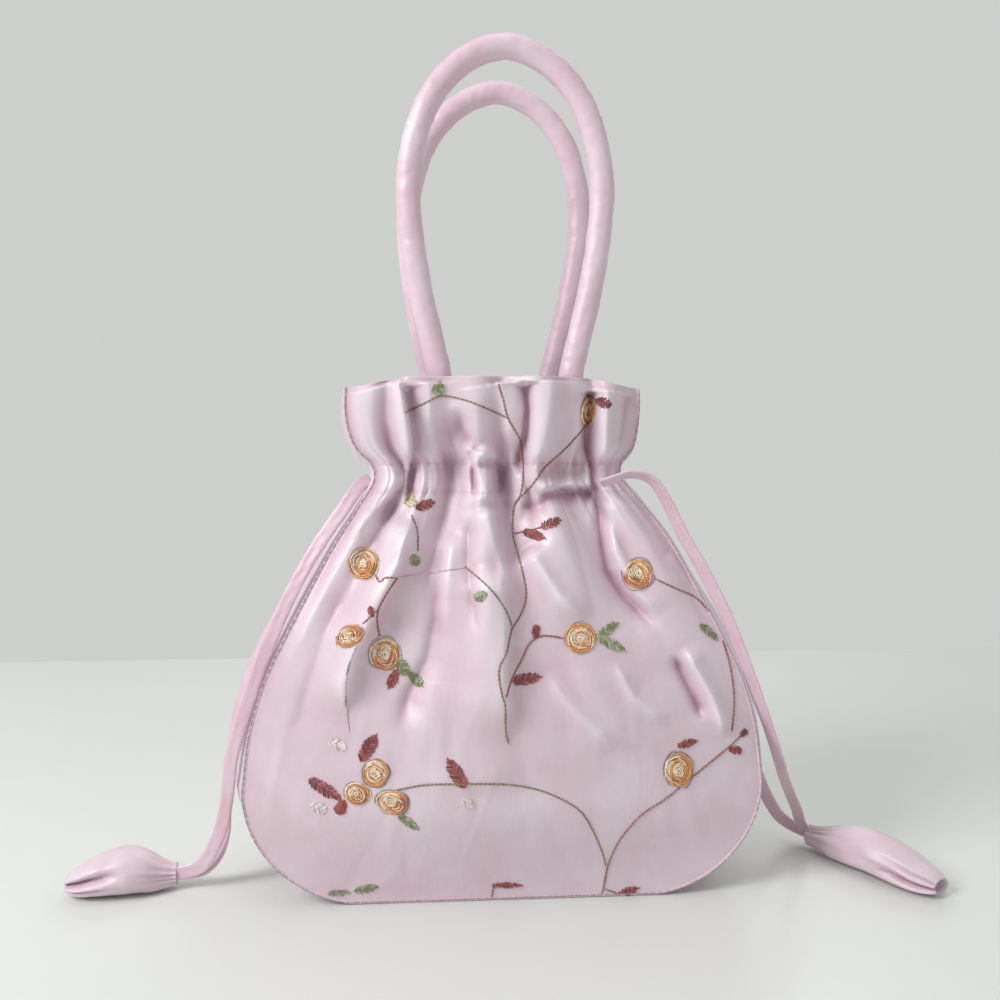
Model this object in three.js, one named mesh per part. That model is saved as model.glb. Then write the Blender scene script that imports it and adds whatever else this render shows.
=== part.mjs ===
// Satin drawstring handbag that stands on a table, in millimetres, +Z up, front towards -Y.
// The origin is the middle of the flat base, on the table.
import * as THREE from 'three';

// Body
const bodyHeight = 212;
const bodyHalfWidth = 105;
const baseHalfWidth = 54;
const cornerRise = 47;
const gussetHalfDepth = 30;
const bellyBulge = 12;
const gussetBulge = 8;
const wall = 2;
const seamGap = 0.3;

// Gathered channel and the frill above it
const frillHeight = 38;
const waistHeight = bodyHeight - frillHeight;
const waistHalfWidth = 50;
const waistSeamDepth = 15;
const rimHalfWidth = 59;
const rimSeamDepth = 21;
const foldDepth = 7;
const rimDip = 4;

// Handles
const handleRadius = 5;
const handleRise = 129;
const handleSpread = 38.4;
const handleTopDepth = 26;
const footInset = 0.45 * frillHeight;
const footHalfSpacing = 26.3;
const footGap = 0.8;
const backHandleShift = -3.5;

// Drawstrings and the folded satin ends on them
const strandWidth = 6;
const strandThickness = 1.6;
const podHalfWidth = 12;
const podHalfHeight = 9;
const creaseDepth = 0.42;
const creaseSpread = 0.36;
const creaseStart = 0.4;
const leftPodLength = 42;
const rightPodLength = 62;

// Mesh steps
const cornerSteps = 6;
const sideSteps = 9;
const channelSteps = 4;
const frillSteps = 4;
const frontColumns = 40;
const backColumns = 32;
const gussetColumns = 5;
const baseColumns = 12;
const handleSides = 10;
const handleSteps = 32;
const strandSides = 8;
const podSides = 20;

// Side outline above the widest place. at: share of the way up to the channel. width and
// depth: share of the step from the channel's size to the body's. belly: share of the
// front's bulge. bulge: share of the gusset's.
const sideSections = [
  { at: 0.0, width: 1.0, depth: 1.0, belly: 1.0, bulge: 1.0 },
  { at: 0.18, width: 0.945, depth: 0.99, belly: 1.05, bulge: 1.0 },
  { at: 0.34, width: 0.84, depth: 0.93, belly: 0.98, bulge: 0.9 },
  { at: 0.47, width: 0.7, depth: 0.84, belly: 0.92, bulge: 0.8 },
  { at: 0.6, width: 0.545, depth: 0.7, belly: 0.88, bulge: 0.7 },
  { at: 0.78, width: 0.32, depth: 0.42, belly: 0.82, bulge: 0.5 },
  { at: 0.89, width: 0.145, depth: 0.2, belly: 0.76, bulge: 0.38 },
  { at: 0.97, width: 0.015, depth: 0.03, belly: 0.72, bulge: 0.3 },
  { at: 1.0, width: 0.0, depth: 0.0, belly: 0.7, bulge: 0.3 },
];

// The frill. at: share of the way from the channel to the rim. width and depth: share of the
// step from the channel's size to the rim's.
const frillSections = [
  { at: 0.0, width: 0.0, depth: 0.0, belly: 0.7, bulge: 0.3 },
  { at: 0.1, width: 0.12, depth: 0.08, belly: 0.72, bulge: 0.33 },
  { at: 0.27, width: 0.66, depth: 0.35, belly: 0.8, bulge: 0.42 },
  { at: 0.54, width: 0.95, depth: 0.75, belly: 0.93, bulge: 0.5 },
  { at: 0.83, width: 1.02, depth: 0.95, belly: 1.0, bulge: 0.45 },
  { at: 1.0, width: 0.98, depth: 1.0, belly: 1.0, bulge: 0.4 },
];

// Gathers. rim, waist and foot: where the fold runs at the rim, the channel and its lower
// end, as shares of the half width. drop: how far down it reaches, as a share of the
// channel's height. depth: share of the fold depth, outwards if positive. rimDepth: the
// part of that left at the rim. spread: share of the half width that it takes.
const frontGathers = [
  { rim: -0.86, waist: -0.9, foot: -0.94, drop: 0.35, depth: 0.5, rimDepth: 0.7, spread: 0.11 },
  { rim: -0.71, waist: -0.77, foot: -0.8, drop: 0.4, depth: -0.75, rimDepth: 0.8, spread: 0.06 },
  { rim: -0.58, waist: -0.6, foot: -0.73, drop: 0.55, depth: 0.6, rimDepth: 0.4, spread: 0.11 },
  { rim: -0.3, waist: -0.4, foot: -0.42, drop: 0.5, depth: -0.8, rimDepth: 0.1, spread: 0.08 },
  { rim: -0.12, waist: -0.17, foot: -0.06, drop: 0.75, depth: 0.9, rimDepth: 0.2, spread: 0.09 },
  { rim: 0.04, waist: 0.01, foot: 0.1, drop: 0.45, depth: -0.8, rimDepth: 0.5, spread: 0.08 },
  { rim: 0.3, waist: 0.28, foot: 0.4, drop: 0.6, depth: 0.7, rimDepth: 0.6, spread: 0.12 },
  { rim: 0.52, waist: 0.5, foot: 0.62, drop: 0.5, depth: -0.4, rimDepth: 0.0, spread: 0.08 },
  { rim: 0.66, waist: 0.66, foot: 0.72, drop: 0.4, depth: -0.75, rimDepth: 0.7, spread: 0.06 },
  { rim: 0.8, waist: 0.82, foot: 0.83, drop: 0.7, depth: 0.7, rimDepth: 0.7, spread: 0.12 },
];
const backGathers = [
  { rim: -0.82, waist: -0.84, foot: -0.88, drop: 0.6, depth: 0.6, rimDepth: 0.7, spread: 0.12 },
  { rim: -0.66, waist: -0.65, foot: -0.74, drop: 0.45, depth: -0.7, rimDepth: 0.6, spread: 0.08 },
  { rim: -0.38, waist: -0.44, foot: -0.5, drop: 0.6, depth: 0.6, rimDepth: 0.2, spread: 0.12 },
  { rim: -0.18, waist: -0.2, foot: -0.22, drop: 0.4, depth: -0.7, rimDepth: 0.3, spread: 0.09 },
  { rim: 0.02, waist: 0.04, foot: -0.02, drop: 0.7, depth: 0.8, rimDepth: 0.4, spread: 0.1 },
  { rim: 0.22, waist: 0.26, foot: 0.3, drop: 0.45, depth: -0.7, rimDepth: 0.3, spread: 0.08 },
  { rim: 0.5, waist: 0.48, foot: 0.56, drop: 0.6, depth: 0.6, rimDepth: 0.2, spread: 0.12 },
  { rim: 0.68, waist: 0.68, foot: 0.76, drop: 0.45, depth: -0.7, rimDepth: 0.6, spread: 0.08 },
  { rim: 0.84, waist: 0.86, foot: 0.9, drop: 0.55, depth: 0.5, rimDepth: 0.7, spread: 0.11 },
];
const edgeFade = 0.09;

// Where the channel's mesh rows start and end, as shares of the side and of the frill.
const channelFootShare = 0.89;
const channelTopShare = 0.27;

// Share of the half width beyond which the rim dips towards the sides.
const dipStart = 0.55;

// One side of a handle, from the rim up. rise: share of the handle's rise. out: share of
// its spread.
const handleShape = [
  { rise: 0.12, out: 0.77 },
  { rise: 0.25, out: 0.87 },
  { rise: 0.42, out: 0.965 },
  { rise: 0.58, out: 1.0 },
  { rise: 0.72, out: 0.93 },
  { rise: 0.84, out: 0.775 },
  { rise: 0.93, out: 0.53 },
  { rise: 0.98, out: 0.27 },
];

// Sections of a folded satin end, from its neck to its open tip.
const podSections = [
  { along: 0.0, width: 0.34, height: 0.5, lift: 0.08 },
  { along: 0.09, width: 0.48, height: 0.62, lift: 0.05 },
  { along: 0.24, width: 0.82, height: 0.88, lift: 0.0 },
  { along: 0.45, width: 1.0, height: 1.0, lift: 0.0 },
  { along: 0.66, width: 0.95, height: 0.9, lift: 0.0 },
  { along: 0.84, width: 0.78, height: 0.7, lift: 0.0 },
  { along: 0.95, width: 0.56, height: 0.5, lift: 0.05 },
  { along: 1.0, width: 0.4, height: 0.32, lift: 0.12 },
];

// Routes of the drawstrings, from the slit to the folded end, as chosen points.
const strandRoutes = {
  drawstring_left_front: [
    [-55.2, -9.4, 170.8], [-58.8, -12.2, 168.8], [-65, -16, 160], [-73, -19.5, 148.5], [-81, -22, 135.5],
    [-89.5, -24, 118.5], [-97.5, -25.5, 99], [-105, -26, 77.5], [-110.5, -25, 59], [-113.2, -21, 42],
    [-116.5, -17, 28], [-121.5, -14, 16.8], [-126.2, -12.8, 10.2], [-131.4, -12, 7.8], [-136.9, -11.5, 6.6],
  ],
  drawstring_left_back: [
    [-56.6, 5, 168.4], [-60.2, 5, 165.8], [-67.4, 4, 156], [-75.6, 3, 145], [-83.8, 1.5, 132],
    [-93, -0.5, 117.5], [-100.1, -2.5, 104], [-109, -4.5, 83], [-113.4, -6.5, 66], [-115.6, -8, 49],
    [-115, -8.8, 34.5], [-116, -9, 22], [-119.4, -8.8, 12.6], [-125, -8.4, 7.2], [-131.5, -8, 5.6],
    [-137.6, -7.9, 5.2],
  ],
  drawstring_right_front: [
    [38.8, -26.2, 169.4], [44, -28, 171.4], [50.5, -28.4, 173.2], [58.5, -28, 171.2], [64.5, -27.2, 163.5],
    [71.6, -27.4, 149.5], [81, -28.4, 133], [90, -29.4, 115], [98.4, -30, 94.5], [106.6, -28.4, 74],
    [115.4, -20, 54.5], [123.2, -8, 39.5], [130.4, 2.5, 27.5], [135.8, 9.6, 18.2], [139, 14.4, 12],
    [141.4, 12.9, 7.6],
  ],
  drawstring_right_back: [
    [45, 24.2, 169], [52, 26, 167.5], [60, 27, 160], [69.5, 28.2, 148], [79.8, 29.4, 133],
    [91, 30.4, 114], [100.5, 31, 94], [108.8, 30.2, 73.5], [115, 27.6, 53.5], [119.6, 23.6, 37],
    [124.4, 20.2, 23.5], [130.8, 20, 12.8], [138, 20.2, 7.2], [143.4, 17.6, 5.2], [146, 13.4, 5],
  ],
};

// How each strand's flat side is turned about its route, in degrees.
const strandRoll = {
  drawstring_left_front: 45,
  drawstring_left_back: -25,
  drawstring_right_front: -35,
  drawstring_right_back: 35,
};

// Where each folded end starts, which way it points on the table, in degrees from +X, and
// where round it the fold of its open tip runs.
const podPlaces = {
  pod_left: { neck: [-138.2, -9.5], heading: 186, length: leftPodLength, crease: 12 },
  pod_right: { neck: [144.4, 11], heading: -58, length: rightPodLength, crease: 186 },
};

function blend(from, to, share) {
  return from + (to - from) * share;
}

function ease(share) {
  const s = Math.min(Math.max(share, 0), 1);
  return s * s * (3 - 2 * s);
}

// Smooth value of one column of a table, between its rows.
function columnAt(rows, column, at) {
  const last = rows.length - 1;
  const x = Math.min(Math.max(at, rows[0].at), rows[last].at);
  let low = 0;
  while (low < last - 1 && x > rows[low + 1].at) low += 1;
  const step = (k) => (rows[k + 1][column] - rows[k][column]) / (rows[k + 1].at - rows[k].at);
  const slope = (k) => {
    if (k === 0) return step(0);
    if (k === last) return step(last - 1);
    return step(k - 1) * step(k) <= 0 ? 0 : (step(k - 1) + step(k)) / 2;
  };
  const width = rows[low + 1].at - rows[low].at;
  const t = (x - rows[low].at) / width;
  const a = rows[low][column];
  const b = rows[low + 1][column];
  const bend = (1 - t) * slope(low) - t * slope(low + 1);
  return blend(a, b, ease(t)) + t * (1 - t) * width * bend;
}

// Half width, seam depth, belly and gusset bulge of the body at a height.
function sectionAt(height) {
  if (height < cornerRise) {
    const down = 1 - height / cornerRise;
    const round = Math.sqrt(1 - down * down);
    return {
      halfWidth: blend(baseHalfWidth, bodyHalfWidth, round),
      seamDepth: gussetHalfDepth,
      belly: bellyBulge * sideSections[0].belly * ease(height / cornerRise),
      bulge: gussetBulge * sideSections[0].bulge * (1 - down),
    };
  }
  const inFrill = height > waistHeight;
  const rows = inFrill ? frillSections : sideSections;
  const at = inFrill
    ? (height - waistHeight) / (bodyHeight - waistHeight)
    : (height - cornerRise) / (waistHeight - cornerRise);
  const fullWidth = inFrill ? rimHalfWidth : bodyHalfWidth;
  const fullDepth = inFrill ? rimSeamDepth : gussetHalfDepth;
  return {
    halfWidth: blend(waistHalfWidth, fullWidth, columnAt(rows, 'width', at)),
    seamDepth: blend(waistSeamDepth, fullDepth, columnAt(rows, 'depth', at)),
    belly: bellyBulge * columnAt(rows, 'belly', at),
    bulge: gussetBulge * columnAt(rows, 'bulge', at),
  };
}

// How far the gathers push a panel out at a place across it and a height.
function gatherRelief(gathers, side, height) {
  let relief = 0;
  for (const gather of gathers) {
    let centre = gather.waist;
    let strength = 1;
    if (height > waistHeight) {
      const up = (height - waistHeight) / (bodyHeight - waistHeight);
      centre = blend(gather.waist, gather.rim, up);
      strength = blend(1, gather.rimDepth, ease(up));
    } else {
      const down = (waistHeight - height) / (waistHeight * gather.drop);
      centre = blend(gather.waist, gather.foot, Math.min(down, 1));
      strength = 1 - ease(down);
    }
    const off = (side - centre) / gather.spread;
    relief += foldDepth * gather.depth * strength * Math.exp(-off * off);
  }
  return relief * ease((1 - Math.abs(side)) / edgeFade);
}

// Height of a mesh row at a place across it: the frill's rim dips towards the sides.
function dippedHeight(side, height) {
  const up = Math.max(height - waistHeight, 0) / (bodyHeight - waistHeight);
  return height - rimDip * up * ease((Math.abs(side) - dipStart) / (1 - dipStart));
}

// Distance from the middle plane to the outer face of the front or the back.
function panelDepth(gathers, side, height) {
  const section = sectionAt(height);
  const crown = section.belly * (1 - side * side);
  return section.seamDepth + crown + gatherRelief(gathers, side, height);
}

// Heights of the mesh rows, closer together where the form turns.
function rowHeights() {
  const heights = [];
  for (let i = 0; i < cornerSteps; i += 1) {
    heights.push(cornerRise * (1 - Math.cos((Math.PI / 2) * (i / cornerSteps))));
  }
  const channelFoot = blend(cornerRise, waistHeight, channelFootShare);
  for (let i = 0; i < sideSteps; i += 1) heights.push(blend(cornerRise, channelFoot, i / sideSteps));
  const channelTop = blend(waistHeight, bodyHeight, channelTopShare);
  for (let i = 0; i < channelSteps; i += 1) heights.push(blend(channelFoot, channelTop, i / channelSteps));
  for (let i = 0; i <= frillSteps; i += 1) heights.push(blend(channelTop, bodyHeight, i / frillSteps));
  return heights;
}

// Closed mesh from points and faces, with its faces turned outwards.
function closedGeometry(points, faces) {
  let volume = 0;
  for (const [a, b, c] of faces) {
    const cross = new THREE.Vector3().crossVectors(points[b], points[c]);
    volume += points[a].dot(cross);
  }
  const turned = volume < 0 ? faces.map(([a, b, c]) => [a, c, b]) : faces;
  const geometry = new THREE.BufferGeometry();
  geometry.setAttribute('position', new THREE.Float32BufferAttribute(points.flatMap((p) => [p.x, p.y, p.z]), 3));
  geometry.setIndex(turned.flat());
  geometry.computeVertexNormals();
  return geometry;
}

// Cloth wall between an outer and an inner grid of points, closed along its edges.
function clothWall(outer, inner) {
  const rows = outer.length;
  const columns = outer[0].length;
  const points = [...outer.flat(), ...inner.flat()];
  const at = (layer, row, column) => layer * rows * columns + row * columns + column;
  const faces = [];
  const quad = (a, b, c, d) => faces.push([a, b, c], [a, c, d]);
  for (let i = 0; i < rows - 1; i += 1) {
    for (let j = 0; j < columns - 1; j += 1) {
      quad(at(0, i, j), at(0, i, j + 1), at(0, i + 1, j + 1), at(0, i + 1, j));
      quad(at(1, i, j), at(1, i + 1, j), at(1, i + 1, j + 1), at(1, i, j + 1));
    }
    quad(at(0, i, 0), at(0, i + 1, 0), at(1, i + 1, 0), at(1, i, 0));
    quad(at(0, i + 1, columns - 1), at(0, i, columns - 1), at(1, i, columns - 1), at(1, i + 1, columns - 1));
  }
  for (let j = 0; j < columns - 1; j += 1) {
    quad(at(0, 0, j + 1), at(0, 0, j), at(1, 0, j), at(1, 0, j + 1));
    quad(at(0, rows - 1, j), at(0, rows - 1, j + 1), at(1, rows - 1, j + 1), at(1, rows - 1, j));
  }
  return closedGeometry(points, faces);
}

// Front or back wall. facing is -1 for the front and 1 for the back.
function panelGeometry(gathers, facing, columns) {
  const outer = [];
  const inner = [];
  for (const height of rowHeights()) {
    const { halfWidth } = sectionAt(height);
    const outerRow = [];
    const innerRow = [];
    for (let j = 0; j <= columns; j += 1) {
      const side = -1 + (2 * j) / columns;
      const depth = panelDepth(gathers, side, height);
      const z = dippedHeight(side, height);
      outerRow.push(new THREE.Vector3(side * halfWidth, facing * depth, z));
      innerRow.push(new THREE.Vector3(side * halfWidth, facing * (depth - wall), z));
    }
    outer.push(outerRow);
    inner.push(innerRow);
  }
  return clothWall(outer, inner);
}

// The seam line as seen from the front, from the left end of the rim round to the right.
function seamStations() {
  const side = rowHeights().map((height) => (
    { x: sectionAt(height).halfWidth, z: dippedHeight(1, height), height }
  ));
  const stations = side.map(({ x, z, height }) => ({ x: -x, z, height })).reverse();
  for (let i = 1; i < baseColumns; i += 1) {
    stations.push({ x: blend(-baseHalfWidth, baseHalfWidth, i / baseColumns), z: 0, height: 0 });
  }
  return [...stations, ...side];
}

// Strip down the left side, across the base and up the right side.
function gussetGeometry() {
  const stations = seamStations();
  const outer = [];
  const inner = [];
  stations.forEach((station, i) => {
    const before = stations[Math.max(i - 1, 0)];
    const after = stations[Math.min(i + 1, stations.length - 1)];
    const length = Math.hypot(after.x - before.x, after.z - before.z);
    const onBase = station.z === 0;
    const outX = onBase ? 0 : -(before.z - after.z) / length;
    const outZ = onBase ? -1 : -(after.x - before.x) / length;
    const { seamDepth, bulge } = sectionAt(station.height);
    const edge = seamDepth - wall - seamGap;
    const outerRow = [];
    const innerRow = [];
    for (let j = 0; j <= gussetColumns; j += 1) {
      const across = -1 + (2 * j) / gussetColumns;
      const proud = bulge * (1 - across * across);
      const x = station.x + outX * proud;
      const z = station.z + outZ * proud;
      outerRow.push(new THREE.Vector3(x, across * edge, z));
      innerRow.push(new THREE.Vector3(x - outX * wall, across * edge, z - outZ * wall));
    }
    outer.push(outerRow);
    inner.push(innerRow);
  });
  return clothWall(outer, inner);
}

function ellipseShape(halfX, halfY, sides, turn) {
  const points = [];
  for (let i = 0; i < sides; i += 1) {
    const angle = (2 * Math.PI * i) / sides;
    const x = halfX * Math.cos(angle);
    const y = halfY * Math.sin(angle);
    points.push(new THREE.Vector2(
      x * Math.cos(turn) - y * Math.sin(turn),
      x * Math.sin(turn) + y * Math.cos(turn),
    ));
  }
  return new THREE.Shape(points);
}

// Depth at which a handle's foot just clears the inner face of the cloth at a height.
function footDepth(gathers, footX, height) {
  const { halfWidth } = sectionAt(height);
  const clear = [-1, -0.75, -0.4, 0, 0.4, 0.75, 1].map((across) => {
    const share = (footX + across * handleRadius) / halfWidth;
    const reach = handleRadius * Math.sqrt(1 - across * across);
    return panelDepth(gathers, share, height) - wall - footGap - reach;
  });
  return Math.min(...clear);
}

// Padded handle, whose feet stand inside the rim against the cloth.
function handleGeometry(gathers, facing, shift) {
  const sidePoints = (hand) => {
    const footX = hand * footHalfSpacing + shift;
    const foot = [-footInset, -footInset / 2, 0].map((below) => {
      const height = bodyHeight + below;
      return new THREE.Vector3(footX, facing * footDepth(gathers, footX, height), height);
    });
    const seatDepth = Math.abs(foot[2].y);
    const above = handleShape.map(({ rise, out }) => new THREE.Vector3(
      hand * handleSpread * out + shift * (1 - rise),
      facing * blend(seatDepth, handleTopDepth, ease(rise)),
      bodyHeight + handleRise * rise,
    ));
    return [...foot, ...above];
  };
  const top = new THREE.Vector3(0, facing * handleTopDepth, bodyHeight + handleRise);
  const path = new THREE.CatmullRomCurve3([...sidePoints(-1), top, ...sidePoints(1).reverse()]);
  const section = ellipseShape(handleRadius, handleRadius, handleSides, 0);
  return new THREE.ExtrudeGeometry(section, { extrudePath: path, steps: handleSteps, bevelEnabled: false });
}

function strandGeometry(name) {
  const path = new THREE.CatmullRomCurve3(strandRoutes[name].map((p) => new THREE.Vector3(...p)));
  const turn = THREE.MathUtils.degToRad(strandRoll[name]);
  const section = ellipseShape(strandWidth / 2, strandThickness / 2, strandSides, turn);
  const steps = Math.round(path.getLength() / (2.5 * strandWidth));
  return new THREE.ExtrudeGeometry(section, { extrudePath: path, steps, bevelEnabled: false });
}

// Folded satin end, lying on the table.
function podGeometry({ neck, heading, length, crease }) {
  const turn = THREE.MathUtils.degToRad(heading);
  const creaseAngle = THREE.MathUtils.degToRad(crease);
  const points = [];
  const faces = [];
  podSections.forEach(({ along, width, height, lift }) => {
    const middle = podHalfHeight * (height + 2 * lift);
    const fold = creaseDepth * ease((along - creaseStart) / (1 - creaseStart));
    for (let i = 0; i < podSides; i += 1) {
      const angle = (2 * Math.PI * i) / podSides;
      const off = Math.atan2(Math.sin(angle - creaseAngle), Math.cos(angle - creaseAngle)) / creaseSpread;
      const dent = 1 - fold * Math.exp(-off * off);
      const across = podHalfWidth * width * Math.cos(angle) * dent;
      const x = neck[0] + length * along * Math.cos(turn) - across * Math.sin(turn);
      const y = neck[1] + length * along * Math.sin(turn) + across * Math.cos(turn);
      points.push(new THREE.Vector3(x, y, middle + podHalfHeight * height * Math.sin(angle) * dent));
    }
  });
  for (let ring = 0; ring < podSections.length - 1; ring += 1) {
    for (let i = 0; i < podSides; i += 1) {
      const next = (i + 1) % podSides;
      const a = ring * podSides;
      const b = a + podSides;
      faces.push([a + i, a + next, b + next], [a + i, b + next, b + i]);
    }
  }
  const lastRing = (podSections.length - 1) * podSides;
  for (let i = 1; i < podSides - 1; i += 1) {
    faces.push([0, i + 1, i], [lastRing, lastRing + i, lastRing + i + 1]);
  }
  return closedGeometry(points, faces);
}

function satin(color) {
  return new THREE.MeshStandardMaterial({ color, roughness: 0.38, metalness: 0, side: THREE.FrontSide });
}

const handbag = new THREE.Group();

function add(name, geometry, color) {
  const mesh = new THREE.Mesh(geometry, satin(color));
  mesh.name = name;
  handbag.add(mesh);
}

add('front_panel', panelGeometry(frontGathers, -1, frontColumns), 0xe6ccd8);
add('back_panel', panelGeometry(backGathers, 1, backColumns), 0xe4c9d6);
add('gusset', gussetGeometry(), 0xe8d0db);
add('handle_front', handleGeometry(frontGathers, -1, 0), 0xefd3df);
add('handle_back', handleGeometry(backGathers, 1, backHandleShift), 0xebcfdb);
for (const name of Object.keys(strandRoutes)) add(name, strandGeometry(name), 0xe3c5d3);
for (const [name, place] of Object.entries(podPlaces)) add(name, podGeometry(place), 0xe9cdd9);

export default handbag;
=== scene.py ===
import bpy
import math
import random
import numpy as np
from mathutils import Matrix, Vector
from mathutils.bvhtree import BVHTree


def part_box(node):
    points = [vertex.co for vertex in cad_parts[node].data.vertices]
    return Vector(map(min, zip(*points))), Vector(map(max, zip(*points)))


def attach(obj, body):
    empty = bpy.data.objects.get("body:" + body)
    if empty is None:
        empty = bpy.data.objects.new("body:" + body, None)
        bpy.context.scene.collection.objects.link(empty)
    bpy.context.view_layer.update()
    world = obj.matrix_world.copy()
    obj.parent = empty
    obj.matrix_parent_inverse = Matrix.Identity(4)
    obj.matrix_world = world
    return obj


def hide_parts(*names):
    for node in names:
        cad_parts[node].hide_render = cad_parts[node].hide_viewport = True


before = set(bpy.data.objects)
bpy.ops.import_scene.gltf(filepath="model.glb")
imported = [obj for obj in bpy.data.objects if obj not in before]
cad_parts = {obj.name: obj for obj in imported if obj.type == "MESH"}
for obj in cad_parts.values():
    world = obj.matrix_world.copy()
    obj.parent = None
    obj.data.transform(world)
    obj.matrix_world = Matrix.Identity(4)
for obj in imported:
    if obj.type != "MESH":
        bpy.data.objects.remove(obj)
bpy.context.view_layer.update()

# All sizes in the dictionaries below are millimetres unless a note says otherwise.
toMetres = 0.001

photoView = {"place": (-30.0, -426.5, 186.0), "turn": -3.95, "tilt": -3.3, "lens": 36.0,
             "sensor": 36.0, "pixels": 1000}


def addObject(name, data):
    made = bpy.data.objects.new(name, data)
    bpy.context.scene.collection.objects.link(made)
    return made


def runAlong(points):
    return np.concatenate([[0], np.cumsum(np.linalg.norm(np.diff(points, axis=0), axis=1))])


def pointsAt(points, run, spots):
    return np.stack([np.interp(spots, run, column) for column in points.T], axis=1)


def addCamera():
    data = bpy.data.cameras.new("photoCamera")
    data.lens = photoView["lens"]
    data.sensor_width = photoView["sensor"]
    camera = addObject("photoCamera", data)
    camera.location = Vector(photoView["place"]) * toMetres
    camera.rotation_euler = (math.radians(90 + photoView["tilt"]), 0, math.radians(photoView["turn"]))
    bpy.context.scene.camera = camera
    bpy.context.view_layer.update()
    return camera


camera = addCamera()
cameraTurn = np.array(camera.matrix_world.to_3x3())
cameraPlace = np.array(photoView["place"])
focalPixels = photoView["lens"] / photoView["sensor"] * photoView["pixels"]


def toPhoto(points):
    local = (points - cameraPlace) @ cameraTurn
    across = photoView["pixels"] / 2 + focalPixels * local[..., 0] / -local[..., 2]
    down = photoView["pixels"] / 2 - focalPixels * local[..., 1] / -local[..., 2]
    return across, down


def photoRay(across, down):
    half = photoView["pixels"] / 2
    ray = cameraTurn @ np.array([(across - half) / focalPixels, (half - down) / focalPixels, -1.0])
    return ray / np.linalg.norm(ray)


# The bag's form, by the same rules as its solids.
bag = {
    "height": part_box("front_panel")[1].z * 1000, "halfWidth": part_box("front_panel")[1].x * 1000,
    "baseHalfWidth": 54, "cornerRise": 47, "seamDepth": 30, "belly": 12, "gussetBulge": 8,
    "frillHeight": 38, "waistHalfWidth": 50, "waistSeamDepth": 15, "rimHalfWidth": 59,
    "rimSeamDepth": 21, "foldDepth": 7, "rimDip": 4, "edgeFade": 0.09, "dipStart": 0.55,
    "frillLean": -4.6, "leanStart": 30, "leanReach": 20, "seamHold": 0.07, "baseHold": 9,
}
bag["waistHeight"] = bag["height"] - bag["frillHeight"]

# Columns: share of the way up, width, depth, belly, gusset bulge.
sideSections = np.array([
    [0.0, 1.0, 1.0, 1.0, 1.0], [0.18, 0.945, 0.99, 1.05, 1.0], [0.34, 0.84, 0.93, 0.98, 0.9],
    [0.47, 0.7, 0.84, 0.92, 0.8], [0.6, 0.545, 0.7, 0.88, 0.7], [0.78, 0.32, 0.42, 0.82, 0.5],
    [0.89, 0.145, 0.2, 0.76, 0.38], [0.97, 0.015, 0.03, 0.72, 0.3], [1.0, 0.0, 0.0, 0.7, 0.3],
])
frillSections = np.array([
    [0.0, 0.0, 0.0, 0.7, 0.3], [0.1, 0.12, 0.08, 0.72, 0.33], [0.27, 0.66, 0.35, 0.8, 0.42],
    [0.54, 0.95, 0.75, 0.93, 0.5], [0.83, 1.02, 0.95, 1.0, 0.45], [1.0, 0.98, 1.0, 1.0, 0.4],
])
# Columns: rim, waist, foot, drop, depth, rim depth, spread.
frontGathers = [
    [-0.86, -0.9, -0.94, 0.35, 0.5, 0.7, 0.11], [-0.71, -0.77, -0.8, 0.4, -0.75, 0.8, 0.06],
    [-0.58, -0.6, -0.73, 0.55, 0.6, 0.4, 0.11], [-0.3, -0.4, -0.42, 0.5, -0.8, 0.1, 0.08],
    [-0.12, -0.17, -0.06, 0.75, 0.9, 0.2, 0.09], [0.04, 0.01, 0.1, 0.45, -0.8, 0.5, 0.08],
    [0.3, 0.28, 0.4, 0.6, 0.7, 0.6, 0.12], [0.52, 0.5, 0.62, 0.5, -0.4, 0.0, 0.08],
    [0.66, 0.66, 0.72, 0.4, -0.75, 0.7, 0.06], [0.8, 0.82, 0.83, 0.7, 0.7, 0.7, 0.12],
]
backGathers = [
    [-0.82, -0.84, -0.88, 0.6, 0.6, 0.7, 0.12], [-0.66, -0.65, -0.74, 0.45, -0.7, 0.6, 0.08],
    [-0.38, -0.44, -0.5, 0.6, 0.6, 0.2, 0.12], [-0.18, -0.2, -0.22, 0.4, -0.7, 0.3, 0.09],
    [0.02, 0.04, -0.02, 0.7, 0.8, 0.4, 0.1], [0.22, 0.26, 0.3, 0.45, -0.7, 0.3, 0.08],
    [0.5, 0.48, 0.56, 0.6, 0.6, 0.2, 0.12], [0.68, 0.68, 0.76, 0.45, -0.7, 0.6, 0.08],
    [0.84, 0.86, 0.9, 0.55, 0.5, 0.7, 0.11],
]


def ease(share):
    held = np.clip(share, 0, 1)
    return held * held * (3 - 2 * held)


def columnAt(rows, column, at):
    places, values = rows[:, 0], rows[:, column]
    at = np.clip(at, places[0], places[-1])
    steps = np.diff(values) / np.diff(places)
    middle = np.where(steps[:-1] * steps[1:] <= 0, 0, (steps[:-1] + steps[1:]) / 2)
    slopes = np.concatenate([steps[:1], middle, steps[-1:]])
    low = np.clip(np.searchsorted(places, at, side="left") - 1, 0, len(places) - 2)
    width = places[low + 1] - places[low]
    t = (at - places[low]) / width
    bend = (1 - t) * slopes[low] - t * slopes[low + 1]
    return values[low] + (values[low + 1] - values[low]) * ease(t) + t * (1 - t) * width * bend


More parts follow.
